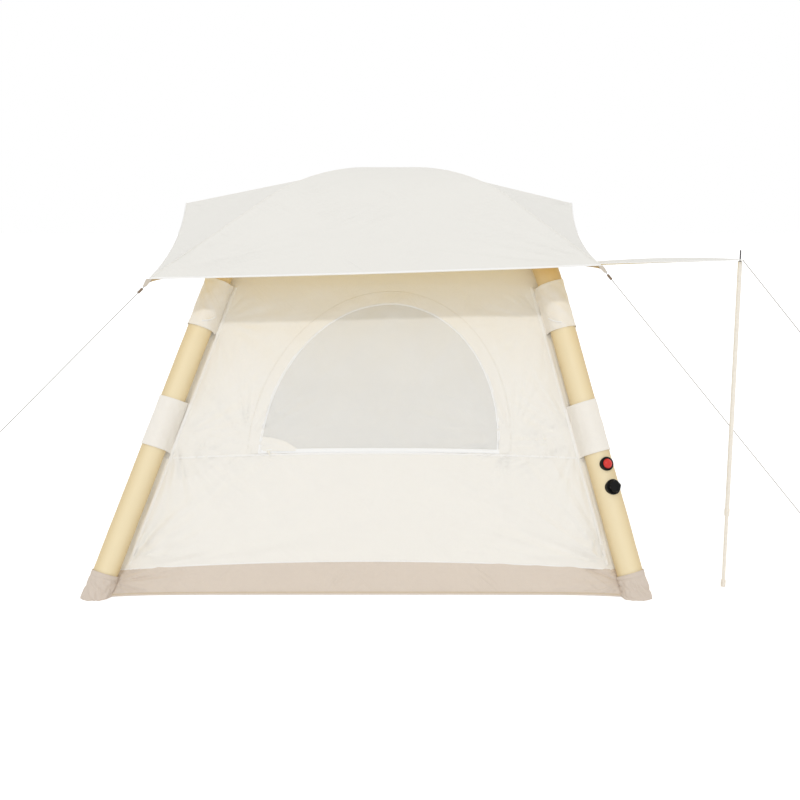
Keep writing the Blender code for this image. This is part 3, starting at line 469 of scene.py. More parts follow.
def tint(material, share, colour):
    """Blends another colour into a material's own."""
    tree = material.node_tree
    base = tree.nodes["Principled BSDF"].inputs["Base Color"]
    tree.links.new(blend_colours(tree, share, base.links[0].from_socket, colour), base)


beam_cloth = cloth_finish(
    "beam_cloth", ink(245, 228, 188), 0.40, dents=0.0005, scale=16.0, tone=0.96, sheen_weight=0.1
)
tree = beam_cloth.node_tree
height = axes_of(tree, on_piece(tree))["Z"]
# Painted shade: above 1.25 m the beam's colour turns deeper and more golden, as the shade that falls under the fly.
painted_fly_shade = add(tree, "ShaderNodeMapRange", {0: height, 1: 1.25, 2: 1.40, 4: 0.85}).outputs[0]
tint(beam_cloth, painted_fly_shade, ink(222, 180, 106))
# Painted shade and highlight: the beam turns deeper and more golden where its surface turns away from the eye, so
# that its middle reads as a soft highlight.
painted_edge_shade = add(tree, "ShaderNodeLayerWeight", {"Blend": 0.5}).outputs["Facing"]
tint(beam_cloth, painted_edge_shade, ink(212, 182, 118))


def clipped(value):
    return max(0.0, min(1.0, value))


def smooth_step(value, low, high):
    share = clipped((value - low) / (high - low))
    return share * share * (3 - 2 * share)


def rough(x, y, z):
    """Smooth noise at a place, about -1 to 1."""
    return noise.noise(Vector((x, y, z)))


def in_corner(flat):
    """A point (distance from the centre, height) of the front right corner's upright plane."""
    return OUTWARD * flat.x + UP * flat.y


def to_corner(flat, corner):
    spot = in_corner(flat)
    spot.rotate(Matrix.Rotation(CORNER_TURNS[corner], 3, "Z"))
    return spot


def leg_point(height):
    return FOOT_POINT + LEG_WAY * (height / LEG_WAY.y)


def bend_points(steps):
    crown = Vector((HUB_REACH + GAP, CROWN_HEIGHT))
    handles = (SHOULDER_POINT + LEG_WAY * SHOULDER_PULL, crown + Vector((CROWN_PULL, 0)))
    return [Vector(point[:2]) for point in interpolate_bezier(SHOULDER_POINT, *handles, crown, steps)]


def bend_ways(points):
    inner = [(after - before).normalized() for before, after in zip(points, points[2:])]
    return [LEG_WAY, *inner, Vector((-1, 0))]


def spin_to(bm, turn):
    bmesh.ops.rotate(bm, cent=(0, 0, 0), matrix=Matrix.Rotation(turn, 3, "Z"), verts=bm.verts)


LEG_RINGS = 110
BEND_RINGS = 70
BEAM_START = SOLE + 0.006
BUTTON_ROOM = 0.0235
BUTTON_SINK = 0.009
leg_along = in_corner(LEG_WAY)


def sink_under_button(bm):
    """Sinks the front right cover inside the relief valve's ring, so that the button has room below it."""
    button = nodes["relief_valve_button"]
    centre = sum((button.matrix_world @ Vector(corner) for corner in button.bound_box), Vector()) / 8
    foot = LEANING @ in_corner(leg_point(0))
    way = (LEANING @ in_corner(leg_point(1)) - foot).normalized()
    middle = foot + way * (centre - foot).dot(way)
    out = (centre - middle).normalized()
    near = [edge for edge in bm.edges if all((LEANING @ vert.co - centre).length < 0.05 for vert in edge.verts)]
    bmesh.ops.subdivide_edges(bm, edges=near, cuts=4, use_grid_fill=True)
    for vert in bm.verts:
        off = LEANING @ vert.co - middle
        aside = (off - out * off.dot(out)).length
        if off.dot(out) > 0 and aside < 0.03:
            off -= out * BUTTON_SINK * (1 - smooth_step(aside, BUTTON_ROOM, BUTTON_ROOM + 0.003))
            vert.co = LEANING.inverted() @ (middle + off)


leg_heights = [BEAM_START + (SHOULDER_HEIGHT - BEAM_START) * share for share in even_shares(LEG_RINGS)]
beam_line = [leg_point(height) for height in leg_heights[:-1]]
beam_line += bend_points(BEND_RINGS)
beam_centres = [in_corner(point) for point in beam_line]

for seed, (corner, turn) in enumerate(CORNER_TURNS.items()):

    def beam_surface(around, index, seed=seed):
        bend = clipped((index - LEG_RINGS + 8) / 14) * clipped((LEG_RINGS + 62 - index) / 18)
        inner = max(0.0, -sin(around)) ** 1.5
        crease = -abs(rough(around * 0.8, seed * 3.1, index * 0.42)) * 0.0075 * inner * bend
        sway = rough(cos(around) * 1.2, sin(around) * 1.2 + seed * 7, index * 0.16) * 0.0007
        seam = 0.0011 * exp(-(((around - 1.5 * pi + 0.55) / 0.07) ** 2))
        foot = -0.004 * max(0.0, 1 - index / 4)
        return BEAM_RADIUS - 0.0006 + crease + sway + seam + foot

    bm = tube_along(beam_centres, [SIDEWAYS] * len(beam_centres), beam_surface, 56)
    for vert in bm.verts:
        if vert.co.z < SOLE:
            vert.co += leg_along * ((SOLE - vert.co.z) / leg_along.z)
    if corner == "front_right":
        sink_under_button(bm)
    spin_to(bm, turn)
    dress(bm, f"beam_cover_{corner}", beam_cloth, [f"beam_{corner}"], smooth=80)

hub_cloth, tree, shader = new_finish("hub_cloth", 0.5, sheen_weight=0.15)
soft = soft_at(tree, 30.0)
shade = blend_colours(tree, soft["Tone"], ink(226, 206, 158), ink(236, 217, 170))
give(tree, shader, base_color=shade, normal=bump(tree, soft["Height"], 0.001))

bm = bmesh.new()
hub_tube = {"radius1": BEAM_RADIUS - 0.0008, "radius2": BEAM_RADIUS - 0.0008, "depth": 2 * HUB_REACH}
for turn in (pi / 4, -pi / 4):
    level = Matrix.Translation((0, 0, CROWN_HEIGHT)) @ Matrix.Rotation(turn, 4, "Z") @ Matrix.Rotation(pi / 2, 4, "Y")
    bmesh.ops.create_cone(bm, cap_ends=True, segments=56, matrix=level, **hub_tube)
hub = dress(bm, "hub_cover", hub_cloth, ["crown_hub"], smooth=80)
join = hub.modifiers.new("one_body", "REMESH")
join.mode = "VOXEL"
join.voxel_size = 0.004
join.use_smooth_shade = True
ease = hub.modifiers.new("eased", "SMOOTH")
ease.factor = 0.5
ease.iterations = 10

# Sleeves
# Bands of the tent's cream cloth that wrap the outside of each air beam, at knee and at head height,
# and are sewn to both walls beside it. They pull straight off the beam on to the walls.

WRAP = 0.002
FABRIC = 0.0015
WRAP_RADIUS = BEAM_RADIUS + GAP + WRAP
WRAP_REACH = WRAP_RADIUS / LEG_WAY.y + GAP
WALL_END = FABRIC + GAP
WALL_INSET = (sqrt(2 * WRAP_REACH * WRAP_REACH - WALL_END * WALL_END) - WALL_END) / 2
WALL_HALF = FOOT_HALF - WALL_INSET
SLEEVES = {"mid_sleeve": (0.605, 0.805), "upper_sleeve": (1.105, 1.285)}
SAGGING = {
    "mid_sleeve_front_right": (-0.020, -0.015, 0.010),
    "upper_sleeve_front_right": (0.002, 0.008, 0.024),
    "upper_sleeve_front_left": (0.0, 0.018, 0.0),
}
SLEEVE_REACH = 0.071
SLEEVE_MARGIN = 0.004
leg_across = SIDEWAYS.cross(leg_along)

CREAM = ink(247, 244, 237)
SLEEVE_CREAM = ink(247, 242, 233)
cream_cloth = cloth_finish("cream_cloth", CREAM, 0.78, dents=0.0012, scale=20.0, tone=0.96, drawn=0.0007)
sleeve_cloth = cloth_finish("sleeve_cloth", SLEEVE_CREAM, 0.45, dents=0.0018, scale=30.0, tone=0.95, drawn=0.001)


def thicken(piece, thickness=0.0008, offset=0.0, back=None):
    """Gives cloth its thickness, with another finish on its back if it has one."""
    step = piece.modifiers.new("cloth", "SOLIDIFY")
    step.thickness = thickness
    step.offset = offset
    step.use_rim = True
    if back is not None:
        piece.data.materials.append(back)
        step.material_offset = 1


def sleeve_section(radius):
    """Points (sideways, across) from one wall, straight on to the beam, round it and off to the other wall."""
    on_wall_at = []
    for reach in (SLEEVE_REACH, SLEEVE_REACH + SLEEVE_MARGIN):
        wall = Vector((-reach, WALL_INSET - FABRIC, 0))
        wall -= leg_along * wall.dot(leg_along)
        on_wall_at.append(Vector((wall.dot(SIDEWAYS), wall.dot(leg_across))))
    spot, end = on_wall_at
    touch = atan2(spot.y, spot.x) % (2 * pi) - acos(radius / spot.length)
    turns = [touch + (pi - 2 * touch) * share for share in even_shares(24)]
    rounds = [Vector((radius * cos(turn), radius * sin(turn))) for turn in turns]
    half = [end] + straight(spot, rounds[0], 5)[:-1]
    return half + rounds + [Vector((-point.x, point.y)) for point in reversed(half)]


def along_line(points, share):
    """The point at a share of a line's length."""
    lengths = lengths_along(points)
    wanted = share * lengths[-1]
    for index in range(len(points) - 1):
        if wanted <= lengths[index + 1] or index == len(points) - 2:
            span = lengths[index + 1] - lengths[index]
            return points[index].lerp(points[index + 1], (wanted - lengths[index]) / span)


section = sleeve_section(WRAP_RADIUS - 0.0004)
section_girth = lengths_along(section)[-1]
SLEEVE_COLUMNS, SLEEVE_ROWS = 84, 40
sleeve_shapes = {}
for seed, (corner, turn) in enumerate(CORNER_TURNS.items()):
    for level, (kind, (low, high)) in enumerate(SLEEVES.items()):
        low_sag, high_sag, tilt = SAGGING.get(f"{kind}_{corner}", (0.0, 0.0, 0.0))
        low, high = low + low_sag, high + high_sag
        long = (high - low) / LEG_WAY.y

        def sleeve_place(across, along, seed=seed * 2 + level, low=low, long=long, tilt=tilt):
            spot = along_line(section, across)
            round_way = Vector((spot.x, spot.y)).normalized()
            edge = min(along, 1 - along)
            near_wall = abs(2 * across - 1) ** 3
            folds = rough(across * 16, along * 1.5 + seed * 9, 0.4)
            cross = rough(across * 9, along * 7 + seed * 5, 3.3)
            ruck = 0.5 - abs(rough(across * 7 + along * 3.4, along * 0.8 + seed * 4, 7.1)) * 3
            lift = 0.0022 * folds * (0.4 + near_wall) + 0.0014 * cross + 0.0016 * ruck + 0.0010
            hem = 0.0007 if edge < 0.045 else 0.0
            droop = 0.010 * near_wall * (along - 0.5) + 0.002 * folds * near_wall - tilt * across * (1 - along)
            spot = spot + round_way * (max(lift, -0.0006) + hem)
            centre = in_corner(leg_point(low)) + leg_along * (along * long + droop)
            return centre + SIDEWAYS * spot.x + leg_across * spot.y

        bm = laid_grid(SLEEVE_COLUMNS, SLEEVE_ROWS, sleeve_place, flat_size(section_girth, long))
        spin_to(bm, turn)
        middle = to_corner(leg_point((low + high) / 2), corner)
        sleeve = dress(bm, f"{kind}_cloth_{corner}", sleeve_cloth, [f"{kind}_{corner}"], middle)
        thicken(sleeve, 0.0007)
        sleeve_shapes[f"{kind}_{corner}"] = sleeve_place

# Boots
# A cup of heavy taupe cloth over the foot of each air beam, closed by a turned hem at its top and
# creased aslant where it was pulled down. Its sole is sewn on flat.

BOOT_HEIGHT = 0.092
taupe_cloth = cloth_finish(
    "taupe_cloth", ink(226, 213, 199), 0.72, threads=900.0, dents=0.0026, scale=26.0, tone=0.9, drawn=0.002
)
boot_cloth = cloth_finish(
    "boot_cloth", ink(222, 208, 194), 0.72, threads=900.0, dents=0.0030, scale=30.0, tone=0.88, drawn=0.003
)
boot_long = BOOT_HEIGHT / LEG_WAY.y
for seed, (corner, turn) in enumerate(CORNER_TURNS.items()):
    wall_side = 0 if corner in ("front_left", "rear_right") else pi

    def boot_place(across, along, seed=seed, wall_side=wall_side):
        around = 2 * pi * across
        side = SIDEWAYS * cos(around) + leg_across * sin(around)
        corner_way = (abs(cos(around + pi / 4)) ** 2.5 + abs(sin(around + pi / 4)) ** 2.5) ** (-1 / 2.5)
        corner_way += 0.12 * max(0.0, cos(around - wall_side)) ** 8
        square = 1 + (corner_way - 1) * (1 - along) ** 2
        plain = 1 - smooth_step(along, 0.72, 0.84)
        folds = rough(cos(around) * 3.6 + along * 2, sin(around) * 3.6 + seed * 6, along * 1.6)
        slanted = rough(cos(around) * 2.6 + along * 2.4, sin(around) * 2.6, along * 2 + seed * 4)
        creases = 0.3 - min(0.3, abs(slanted))
        hem = 0.0018 if along > 0.84 else 0.0
        spread = 0.0012 * (1 - along)
        radius = WRAP_RADIUS + hem + spread + max(-0.0014, 0.0034 * folds - 0.0170 * creases + 0.0030) * plain
        radius *= square
        base = in_corner(leg_point(0)) + side * radius
        base -= leg_along * (base.z / leg_along.z)
        top = in_corner(leg_point(BOOT_HEIGHT)) + side * radius
        return base.lerp(top, along)

    bm = laid_grid(96, 44, boot_place, flat_size(2 * pi * WRAP_RADIUS, boot_long))
    bmesh.ops.remove_doubles(bm, verts=bm.verts, dist=MERGE)
    sole = [edge for edge in bm.edges if edge.is_boundary and edge.verts[0].co.z < 0.001]
    bmesh.ops.holes_fill(bm, edges=sole, sides=0)
    spin_to(bm, turn)
    middle = to_corner(leg_point(BOOT_HEIGHT / 2), corner)
    boot = dress(bm, f"boot_cloth_{corner}", boot_cloth, [f"boot_{corner}"], middle)
    thicken(boot, offset=-1.0)

# Groundsheet and skirt
# A taupe floor of coated cloth that turns up at its edges into a low skirt, so that water stays
# out. The skirt's upper edge is sewn to each wall in a shallow curve.

SKIRT_END_HEIGHT = 0.090
SKIRT_MID_HEIGHT = 0.125
SKIRT_FOOT = 0.0006
SKIRT_LAP = 0.004
FOOT_TAPE_WIDTH = 0.010
WALL_TURNS = {"front": 0, "right": pi / 2, "rear": pi, "left": -pi / 2}
INSIDE = Vector((0, 0, 0.6))


def wall_frame(side, out=0.0):
    """Local X along the wall, Y up its slope from the ground and Z outwards."""
    foot = Matrix.Rotation(WALL_TURNS[side], 4, "Z") @ Matrix.Translation((0, -WALL_HALF, 0))
    return foot @ Matrix.Rotation(pi / 2 - LEAN, 4, "X") @ Matrix.Translation((0, 0, out))


def wall_way(side):
    """Straight out from a wall."""
    return wall_frame(side).to_3x3() @ UP


def wall_half_at(rise):
    return WALL_HALF - rise * sin(LEAN) - WALL_END


def fanned_folds(x, y, held, fine=6):
    """Fine folds that fan out from the places where cloth is held, given as (x, y, depth, reach, seed)."""
    lift = 0.0
    for at_x, at_y, depth, reach, seed in held:
        away = hypot(x - at_x, y - at_y) + 0.0001
        if away < 4 * reach:
            spot = Vector(((x - at_x) / away * fine, (y - at_y) / away * fine, seed + away * 1.4))
            ridge = 0.45 - 1.5 * abs(noise.noise(spot)) - 0.5 * abs(noise.noise(spot * 2.3))
            lift += depth * ridge * exp(-away / reach) * min(1.0, away / 0.12)
    return lift


def ground_way(side):
    """Out from a wall along the ground."""
    way = Vector((0, -1, 0))
    way.rotate(Matrix.Rotation(WALL_TURNS[side], 3, "Z"))
    return way


def skirt_rise(share):
    return (SKIRT_END_HEIGHT + (SKIRT_MID_HEIGHT - SKIRT_END_HEIGHT) * (1 - share * share)) / cos(LEAN)


STITCH_PITCH = 0.0042
STITCH_HALF_WIDTH = 0.00045


def stitched_finish(name, colour, thread, width, row, roughness=0.8):
    """Tape with a row of lock stitches near each edge. On its flat cloth X starts from its middle."""
    material, tree, shader = new_finish(name, roughness, sheen_weight=0.2)
    woven, axes = woven_at(tree, 1300.0), axes_of(tree, on_cloth(tree))
    off_row = number(tree, "SUBTRACT", number(tree, "ABSOLUTE", axes["X"]), row * width / 2)
    in_row = number(tree, "LESS_THAN", number(tree, "ABSOLUTE", off_row), STITCH_HALF_WIDTH)
    step = number(tree, "FRACT", number(tree, "DIVIDE", axes["Y"], STITCH_PITCH))
    stitch = number(tree, "MULTIPLY", in_row, number(tree, "LESS_THAN", step, 0.72))
    tone = blend_colours(tree, woven["Yarn"], dim(colour, 0.93), colour)
    dip = number(tree, "MULTIPLY_ADD", in_row, -0.8, stitch)
    surface = bump(tree, dip, 0.0005, bump(tree, woven["Height"], WEAVE_DEPTH))
    give(tree, shader, base_color=blend_colours(tree, stitch, tone, thread), normal=surface)
    return material


def flat_oval(turn, half_width, half_thick, square=0.45):
    """A point of a tape's section, which is flat with rounded edges."""
    x = abs(cos(turn)) ** square * (1 if cos(turn) > 0 else -1) * half_width
    return x, abs(sin(turn)) ** 0.8 * (1 if sin(turn) > 0 else -1) * half_thick


def tape_along(centres, ups, width, thick):
    """A flat tape through `centres`, its face towards `ups` at each one."""
    last = len(centres) - 1
    lengths = lengths_along(centres)

    def spot(across):
        return flat_oval(2 * pi * across, width / 2, thick / 2)

    def place(across, along):
        index = round(along * last)
        way = way_at(centres, index)
        side = way.cross(ups[index]).normalized()
        x, z = spot(across)
        return centres[index] + side * x + side.cross(way) * z

    return close_round(
        laid_grid(10, last, place, lambda across, along: (spot(across)[0], lengths[round(along * last)]))
    )


def sew_tape(name, centres, up, width, thick, finish, stands_for=(), leans=True):
    """Sews a flat tape on the tent, its face towards one way, or a way for each point."""
    ups = up if isinstance(up, list) else [up] * len(centres)
    bm = tape_along(centres, ups, width, thick)
    return dress(bm, name, finish, stands_for, leans=leans)


foot_tape = stitched_finish("foot_tape", ink(217, 200, 174), ink(226, 212, 190), FOOT_TAPE_WIDTH, 0.5)
for seed, side in enumerate(WALL_TURNS):
    matrix = wall_frame(side)

    def skirt_place(across, along, seed=seed, matrix=matrix, forward=ground_way(side)):
        share = 2 * across - 1
        rise = SKIRT_FOOT + (skirt_rise(share) + SKIRT_LAP - SKIRT_FOOT) * along
        x = share * wall_half_at(rise)
        near_boot = 1 + 1.1 * exp(-(wall_half_at(rise) - abs(x)) / 0.22)
        drawn = rough(x * 13 + rise * 30, rise * 3, seed * 8.0) * near_boot
        slanted = rough(x * 9 - rise * 24, rise * 4, seed * 8.0 + 3) * near_boot
        free = min(1.0, along * 5) * min(1.0, (1 - along) * 6 + 0.2)
        held = [(end, 0.05, 0.026, 0.20, seed + end) for end in (-wall_half_at(0.05), wall_half_at(0.05))]
        lift = (0.0026 * drawn + 0.0026 * slanted + fanned_folds(x, rise, held)) * free
        pulled = (0.032 + 0.030 * exp(-(wall_half_at(rise) - abs(x)) / 0.13)) * (1 - along) ** 1.3
        return matrix @ Vector((x, rise, lift - SKIRT_FOOT)) + forward * pulled

    bm = laid_grid(300, 26, skirt_place, flat_size(2 * WALL_HALF, SKIRT_MID_HEIGHT))
    skirt = dress(bm, f"{side}_skirt_cloth", taupe_cloth, [f"{side}_skirt"], INSIDE)
    thicken(skirt, 0.0009)
    foot_line = [skirt_place(share, 0.052) for share in even_shares(240)]
    name = f"{side}_skirt_foot_seam"
    sew_tape(name, foot_line, ground_way(side), FOOT_TAPE_WIDTH, 0.0022, foot_tape)

floor_half = WALL_HALF - 0.004


def floor_place(across, along):
    x, y = (2 * across - 1) * floor_half, (2 * along - 1) * floor_half
    inner = min(1.0, (floor_half - max(abs(x), abs(y))) / 0.1)
    ruck = abs(rough(x * 3.1, y * 3.1, 1.7)) + 0.4 * abs(rough(x * 9, y * 9, 5.1))
    spot = []
    for value, other in ((x, y), (y, x)):
        beside = floor_half - abs(other)
        pulled = (0.0355 + 0.030 * exp(-beside / 0.13)) * smooth_step(beside, 0.0, 0.03)
        pulled *= smooth_step(abs(value), floor_half - 0.2, floor_half)
        spot.append(value + (pulled if value > 0 else -pulled))
    return Vector((*spot, 0.0011 + inner * max(0.0, 0.0048 - 0.013 * ruck)))


bm = laid_grid(150, 150, floor_place, flat_size(2 * floor_half, 2 * floor_half))
floor_cloth = dress(bm, "floor_cloth", taupe_cloth, ["groundsheet"], Vector((0, 0, -9)))
thicken(floor_cloth)

# Walls
# Four leaning panels of cream cloth, each cut as one trapezium with a seam across at window-sill
# height. The sleeves hold them out at the sides, so fine folds fan out from there, and between the
# sleeves their edges draw inwards behind the beams.

WALL_TOP = 1.3394
WALL_LAP = 0.014
SIDE_SEAM = 0.037
SEAM_RISE = 0.598
SEAM_SAG = 0.022
WINDOW_SILL = 0.612
WINDOW_HALF_WIDTH = 0.515
WINDOW_RISE = 0.648
WINDOW_SHIFT = 0.019
WINDOW_CROWN_SHIFT = 0.0135
DOOR_SILL = 0.175
DOOR_HALF_WIDTH = 0.42
DOOR_RISE = 1.02
OPENINGS = {
    "window": (WINDOW_HALF_WIDTH, WINDOW_SILL, WINDOW_RISE, WINDOW_SHIFT, WINDOW_CROWN_SHIFT),
    "door": (DOOR_HALF_WIDTH, DOOR_SILL, DOOR_RISE, 0.0, 0.0),
}
WINDOW_WALLS = ("front", "rear")
WALL_PULLS = ((0.10, 0.02, 0.034, 0.40), (0.66, 0.03, 0.015, 0.28), (1.18, 0.03, 0.008, 0.16))


def arch_point(kind, share, margin=0.0):
    """A point round an opening's arch, from its right foot over the top to its left foot."""
    turn = pi * share
    half, sill, rise, shift, crown = OPENINGS[kind]
    return Vector((shift + crown * sin(turn) + (half + margin) * cos(turn), sill + (rise + margin) * sin(turn)))


def opening_outline(kind, margin=0.0, steps=120):
    points = [arch_point(kind, share, margin) for share in even_shares(steps)]
    points[0].y -= margin
    points[-1].y -= margin
    return points


def wall_relief(side, x, y):
    """How far a wall's cloth stands out from its plane."""
    seed = 11.0 * list(WALL_TURNS).index(side)
    half = wall_half_at(y)
    held = []
    for way in (-1, 1):
        for count, (rise, inset, depth, reach) in enumerate(WALL_PULLS, 1):
            held.append((way * (wall_half_at(rise) - inset), rise, depth, reach, seed + count * way))
    if side in WINDOW_WALLS:
        for way in (-1, 1):
            foot_x = WINDOW_SHIFT + way * (WINDOW_HALF_WIDTH + 0.07)
            held.append((foot_x, SEAM_RISE + 0.06, 0.011, 0.24, seed + 4 * way))
    slant = rough((x + y * 0.8) * 9, (y - x * 0.8) * 1.6, seed + 5)
    counter = rough((x - y * 0.8) * 8, (y + x * 0.8) * 1.5, seed + 8)
    lift = fanned_folds(x, y, held)
    lift += 0.0075 * rough(x * 2.3, y * 2.3, seed) + 0.0036 * slant + 0.0034 * counter
    beside = half - abs(x)
    low = skirt_rise(x / half)
    lift *= smooth_step(beside, 0.0, 0.06) * smooth_step(y, low, low + 0.05) * smooth_step(WALL_TOP - y, 0.0, 0.06)
    behind_beam = 0.001 * (1 - smooth_step(beside, 0.0, SIDE_SEAM))
    crease = 0.0016 * exp(-(((beside - SIDE_SEAM) / 0.006) ** 2))
    return lift + (crease - behind_beam) * smooth_step(WALL_TOP - y, 0.0, 0.10)


def on_wall(side, x, y, out=0.0):
    return wall_frame(side) @ Vector((x, y, wall_relief(side, x, y) + out))


def edge_towards(outline, centre, way):
    """Where a line from a point inside meets a closed outline."""
    best = None
    for start, end in zip(outline, outline[1:] + outline[:1]):
        side = end - start
        across = way.x * side.y - way.y * side.x
        if abs(across) > 1e-12:
            gap = start - centre
            reach = (gap.x * side.y - gap.y * side.x) / across
            share = (gap.x * way.y - gap.y * way.x) / across
            if reach > 0 and -1e-6 <= share <= 1 + 1e-6 and (best is None or reach < best):
                best = reach
    return centre + way * best


def across_shares(steps):
    """Even shares across a wall, -1 to 1."""
    return [2 * share - 1 for share in even_shares(steps)]


def wall_edges():
    low = [Vector((share * wall_half_at(skirt_rise(share)), skirt_rise(share))) for share in across_shares(16)]
    top = WALL_TOP + WALL_LAP
    return low + [Vector((wall_half_at(top), top)), Vector((-wall_half_at(top), top))]


def seam_rise(x):
    """Slope height of the seam across a wall, which hangs a little towards its ends."""
    return SEAM_RISE - SEAM_SAG * (x / wall_half_at(SEAM_RISE)) ** 2


def outline_area(points):
    return abs(sum(a.x * b.y - b.x * a.y for a, b in zip(points, points[1:] + points[:1]))) / 2


def spokes(centre, steps, corners):
    """Ways out from a point all round, with one more straight to each corner."""
    turns = {round(atan2(point.y - centre.y, point.x - centre.x), 9) for point in corners}
    turns |= {round(-pi + 2 * pi * step / steps + 0.004, 9) for step in range(steps)}
    return [Vector((cos(turn), sin(turn))) for turn in sorted(turns)]


def wall_grid(side, columns, rows, flat_at):
    """A wall's cloth, from where its points lie on the flat wall."""

    def place(across, along):
        return on_wall(side, *flat_at(across, along), -FABRIC / 2)

    return laid_grid(columns, rows, place, flat_at)


def pierced_wall(side, kind):
    """A wall whose cloth runs in rings from its opening out to its edges."""
    inner, outer = opening_outline(kind), wall_edges()
    centre = Vector((WINDOW_SHIFT, WINDOW_SILL + 0.2)) if kind == "window" else Vector((0, 0.60))
    ways = spokes(centre, 440, [outer[0], *outer[-3:], inner[0], inner[-1]])
    pairs = [(edge_towards(inner, centre, way), edge_towards(outer, centre, way)) for way in ways]

    def flat_at(across, along):
        near, far = pairs[round(across * len(pairs)) % len(pairs)]
        return near.lerp(far, along)

    return wall_grid(side, len(pairs), 64, flat_at)


def plain_wall(side):
    """A wall whose cloth runs straight up from the skirt."""

    def flat_at(across, along):
        share = 2 * across - 1
        low = skirt_rise(share)
        y = low + (WALL_TOP + WALL_LAP - low) * along
        return Vector((share * wall_half_at(y), y))

    return wall_grid(side, 170, 110, flat_at)


WALL_OPENINGS = {"front": "window", "right": "door", "rear": "window", "left": None}
wall_area = outline_area(wall_edges())
for side, kind in WALL_OPENINGS.items():
    bm = pierced_wall(side, kind) if kind else plain_wall(side)
    wall = dress(bm, f"{side}_wall_cloth", cream_cloth, [f"{side}_wall"], INSIDE)
    thicken(wall)
    hole = outline_area(opening_outline(kind)) if kind else 0.0

# Seams
# Flat felled seams, 9 mm wide with two rows of stitches, close each wall at sill height and join it
# to the skirt, and wider ones run up beside the beams.

SEAM_WIDTH = 0.009
SEAM_THICKNESS = 0.0018
SKIRT_SEAM_WIDTH = 0.007
SIDE_SEAM_WIDTH = 0.013
SIDE_SEAM_FOOT = 0.115
seam_tape = stitched_finish("seam_tape", ink(253, 251, 247), ink(255, 254, 252), SEAM_WIDTH, 0.55)
for side, kind in WALL_OPENINGS.items():
    out = wall_way(side)
    reach = wall_half_at(SEAM_RISE) - 0.006
    if kind == "door":
        gap = DOOR_HALF_WIDTH + 0.012
        stretches = [(-reach, -gap), (gap, reach)]
    else:
        stretches = [(-reach, reach)]
    for count, (start_x, end_x) in enumerate(stretches, 1):
        xs = [start_x + (end_x - start_x) * share for share in even_shares(round((end_x - start_x) / 0.012))]
        centres = [on_wall(side, x, seam_rise(x), -0.0002) for x in xs]
        sew_tape(f"{side}_wall_seam_{count}", centres, out, SEAM_WIDTH, SEAM_THICKNESS, seam_tape)
    centres = []
    for share in across_shares(160):
        low = skirt_rise(share)
        centres.append(on_wall(side, share * (wall_half_at(low) - 0.004), low + 0.001, 0.0003))
    sew_tape(f"{side}_skirt_seam", centres, out, SKIRT_SEAM_WIDTH, SEAM_THICKNESS, seam_tape)
    rises = [SIDE_SEAM_FOOT + (WALL_TOP - SIDE_SEAM_FOOT) * share for share in even_shares(110)]
    for name, way in (("left", -1), ("right", 1)):
        centres = [on_wall(side, way * (wall_half_at(rise) - SIDE_SEAM), rise) for rise in rises]
        sew_tape(f"{side}_wall_{name}_side_seam", centres, out, SIDE_SEAM_WIDTH, 0.0034, seam_tape)

# Sleeve ribbons
# A thin cream ribbon on each upper front sleeve, sewn on beside the wall at its top and curling round
# to the front at its foot.

RIBBON_PATH = ((0.10, 0.90), (0.12, 0.52), (0.15, 0.24), (0.36, 0.12))
RIBBON_WIDTH = 0.006
ribbon_tape = stitched_finish("ribbon_tape", ink(255, 254, 252), ink(255, 255, 254), RIBBON_WIDTH, 0.6)
for corner in ("front_left", "front_right"):
    place = sleeve_shapes[f"upper_sleeve_{corner}"]
    ribbon = interpolate_bezier(*[Vector((*point, 0)) for point in RIBBON_PATH], 60)
    line, ups = [], []
    for point in ribbon:
        across = point.x if corner == "front_right" else 1 - point.x
        spot = place(across, point.y)
        out = (place(across + 0.01, point.y) - place(across - 0.01, point.y)).cross(leg_along).normalized()
        out = out if out.dot(leg_across) > -0.2 else -out
        line.append(spot + out * 0.0018)
        ups.append(out)
    bm = tape_along(line, ups, RIBBON_WIDTH, 0.0036)
    spin_to(bm, CORNER_TURNS[corner])
    dress(bm, f"sleeve_ribbon_{corner}", ribbon_tape)

# Windows
# Front and rear alike: an arched opening with fine grey mesh, a white zip round it, and a wide facing
# stitched to the wall outside the zip. The inner cover is rolled down, and its two corners show
# behind the mesh.

ZIP_TAPE_WIDTH = 0.012
COIL_RADIUS = 0.0018
COIL_PITCH = 0.003
MESH_PITCH = 0.0021
FACING_WIDTH = 0.062
FACING_START = 0.0085
FACING_EDGE_WIDTH = 0.004
SILL_BAND = 0.018
COVER_CORNERS = {"left": (-1, 0.20, 0.062, 0.0), "right": (1, 0.13, 0.046, -0.0090)}
white_tape = stitched_finish("zip_tape", ink(255, 255, 254), ink(255, 255, 255), ZIP_TAPE_WIDTH, 0.8, 0.7)
facing_edge = stitched_finish("facing_edge", ink(245, 241, 232), ink(250, 246, 239), FACING_EDGE_WIDTH, 0.3)

zip_coil, tree, shader = new_finish("zip_coil", 0.35)
rib = number(tree, "MULTIPLY_ADD", waves(tree, axes_of(tree, on_cloth(tree))["Y"], COIL_PITCH), 0.5, 0.5)
# Painted shade: the coil is a little darker in the low parts between its teeth.
raise_and_shade(tree, shader, rib, ink(246, 244, 240), ink(255, 254, 252), 0.0006)

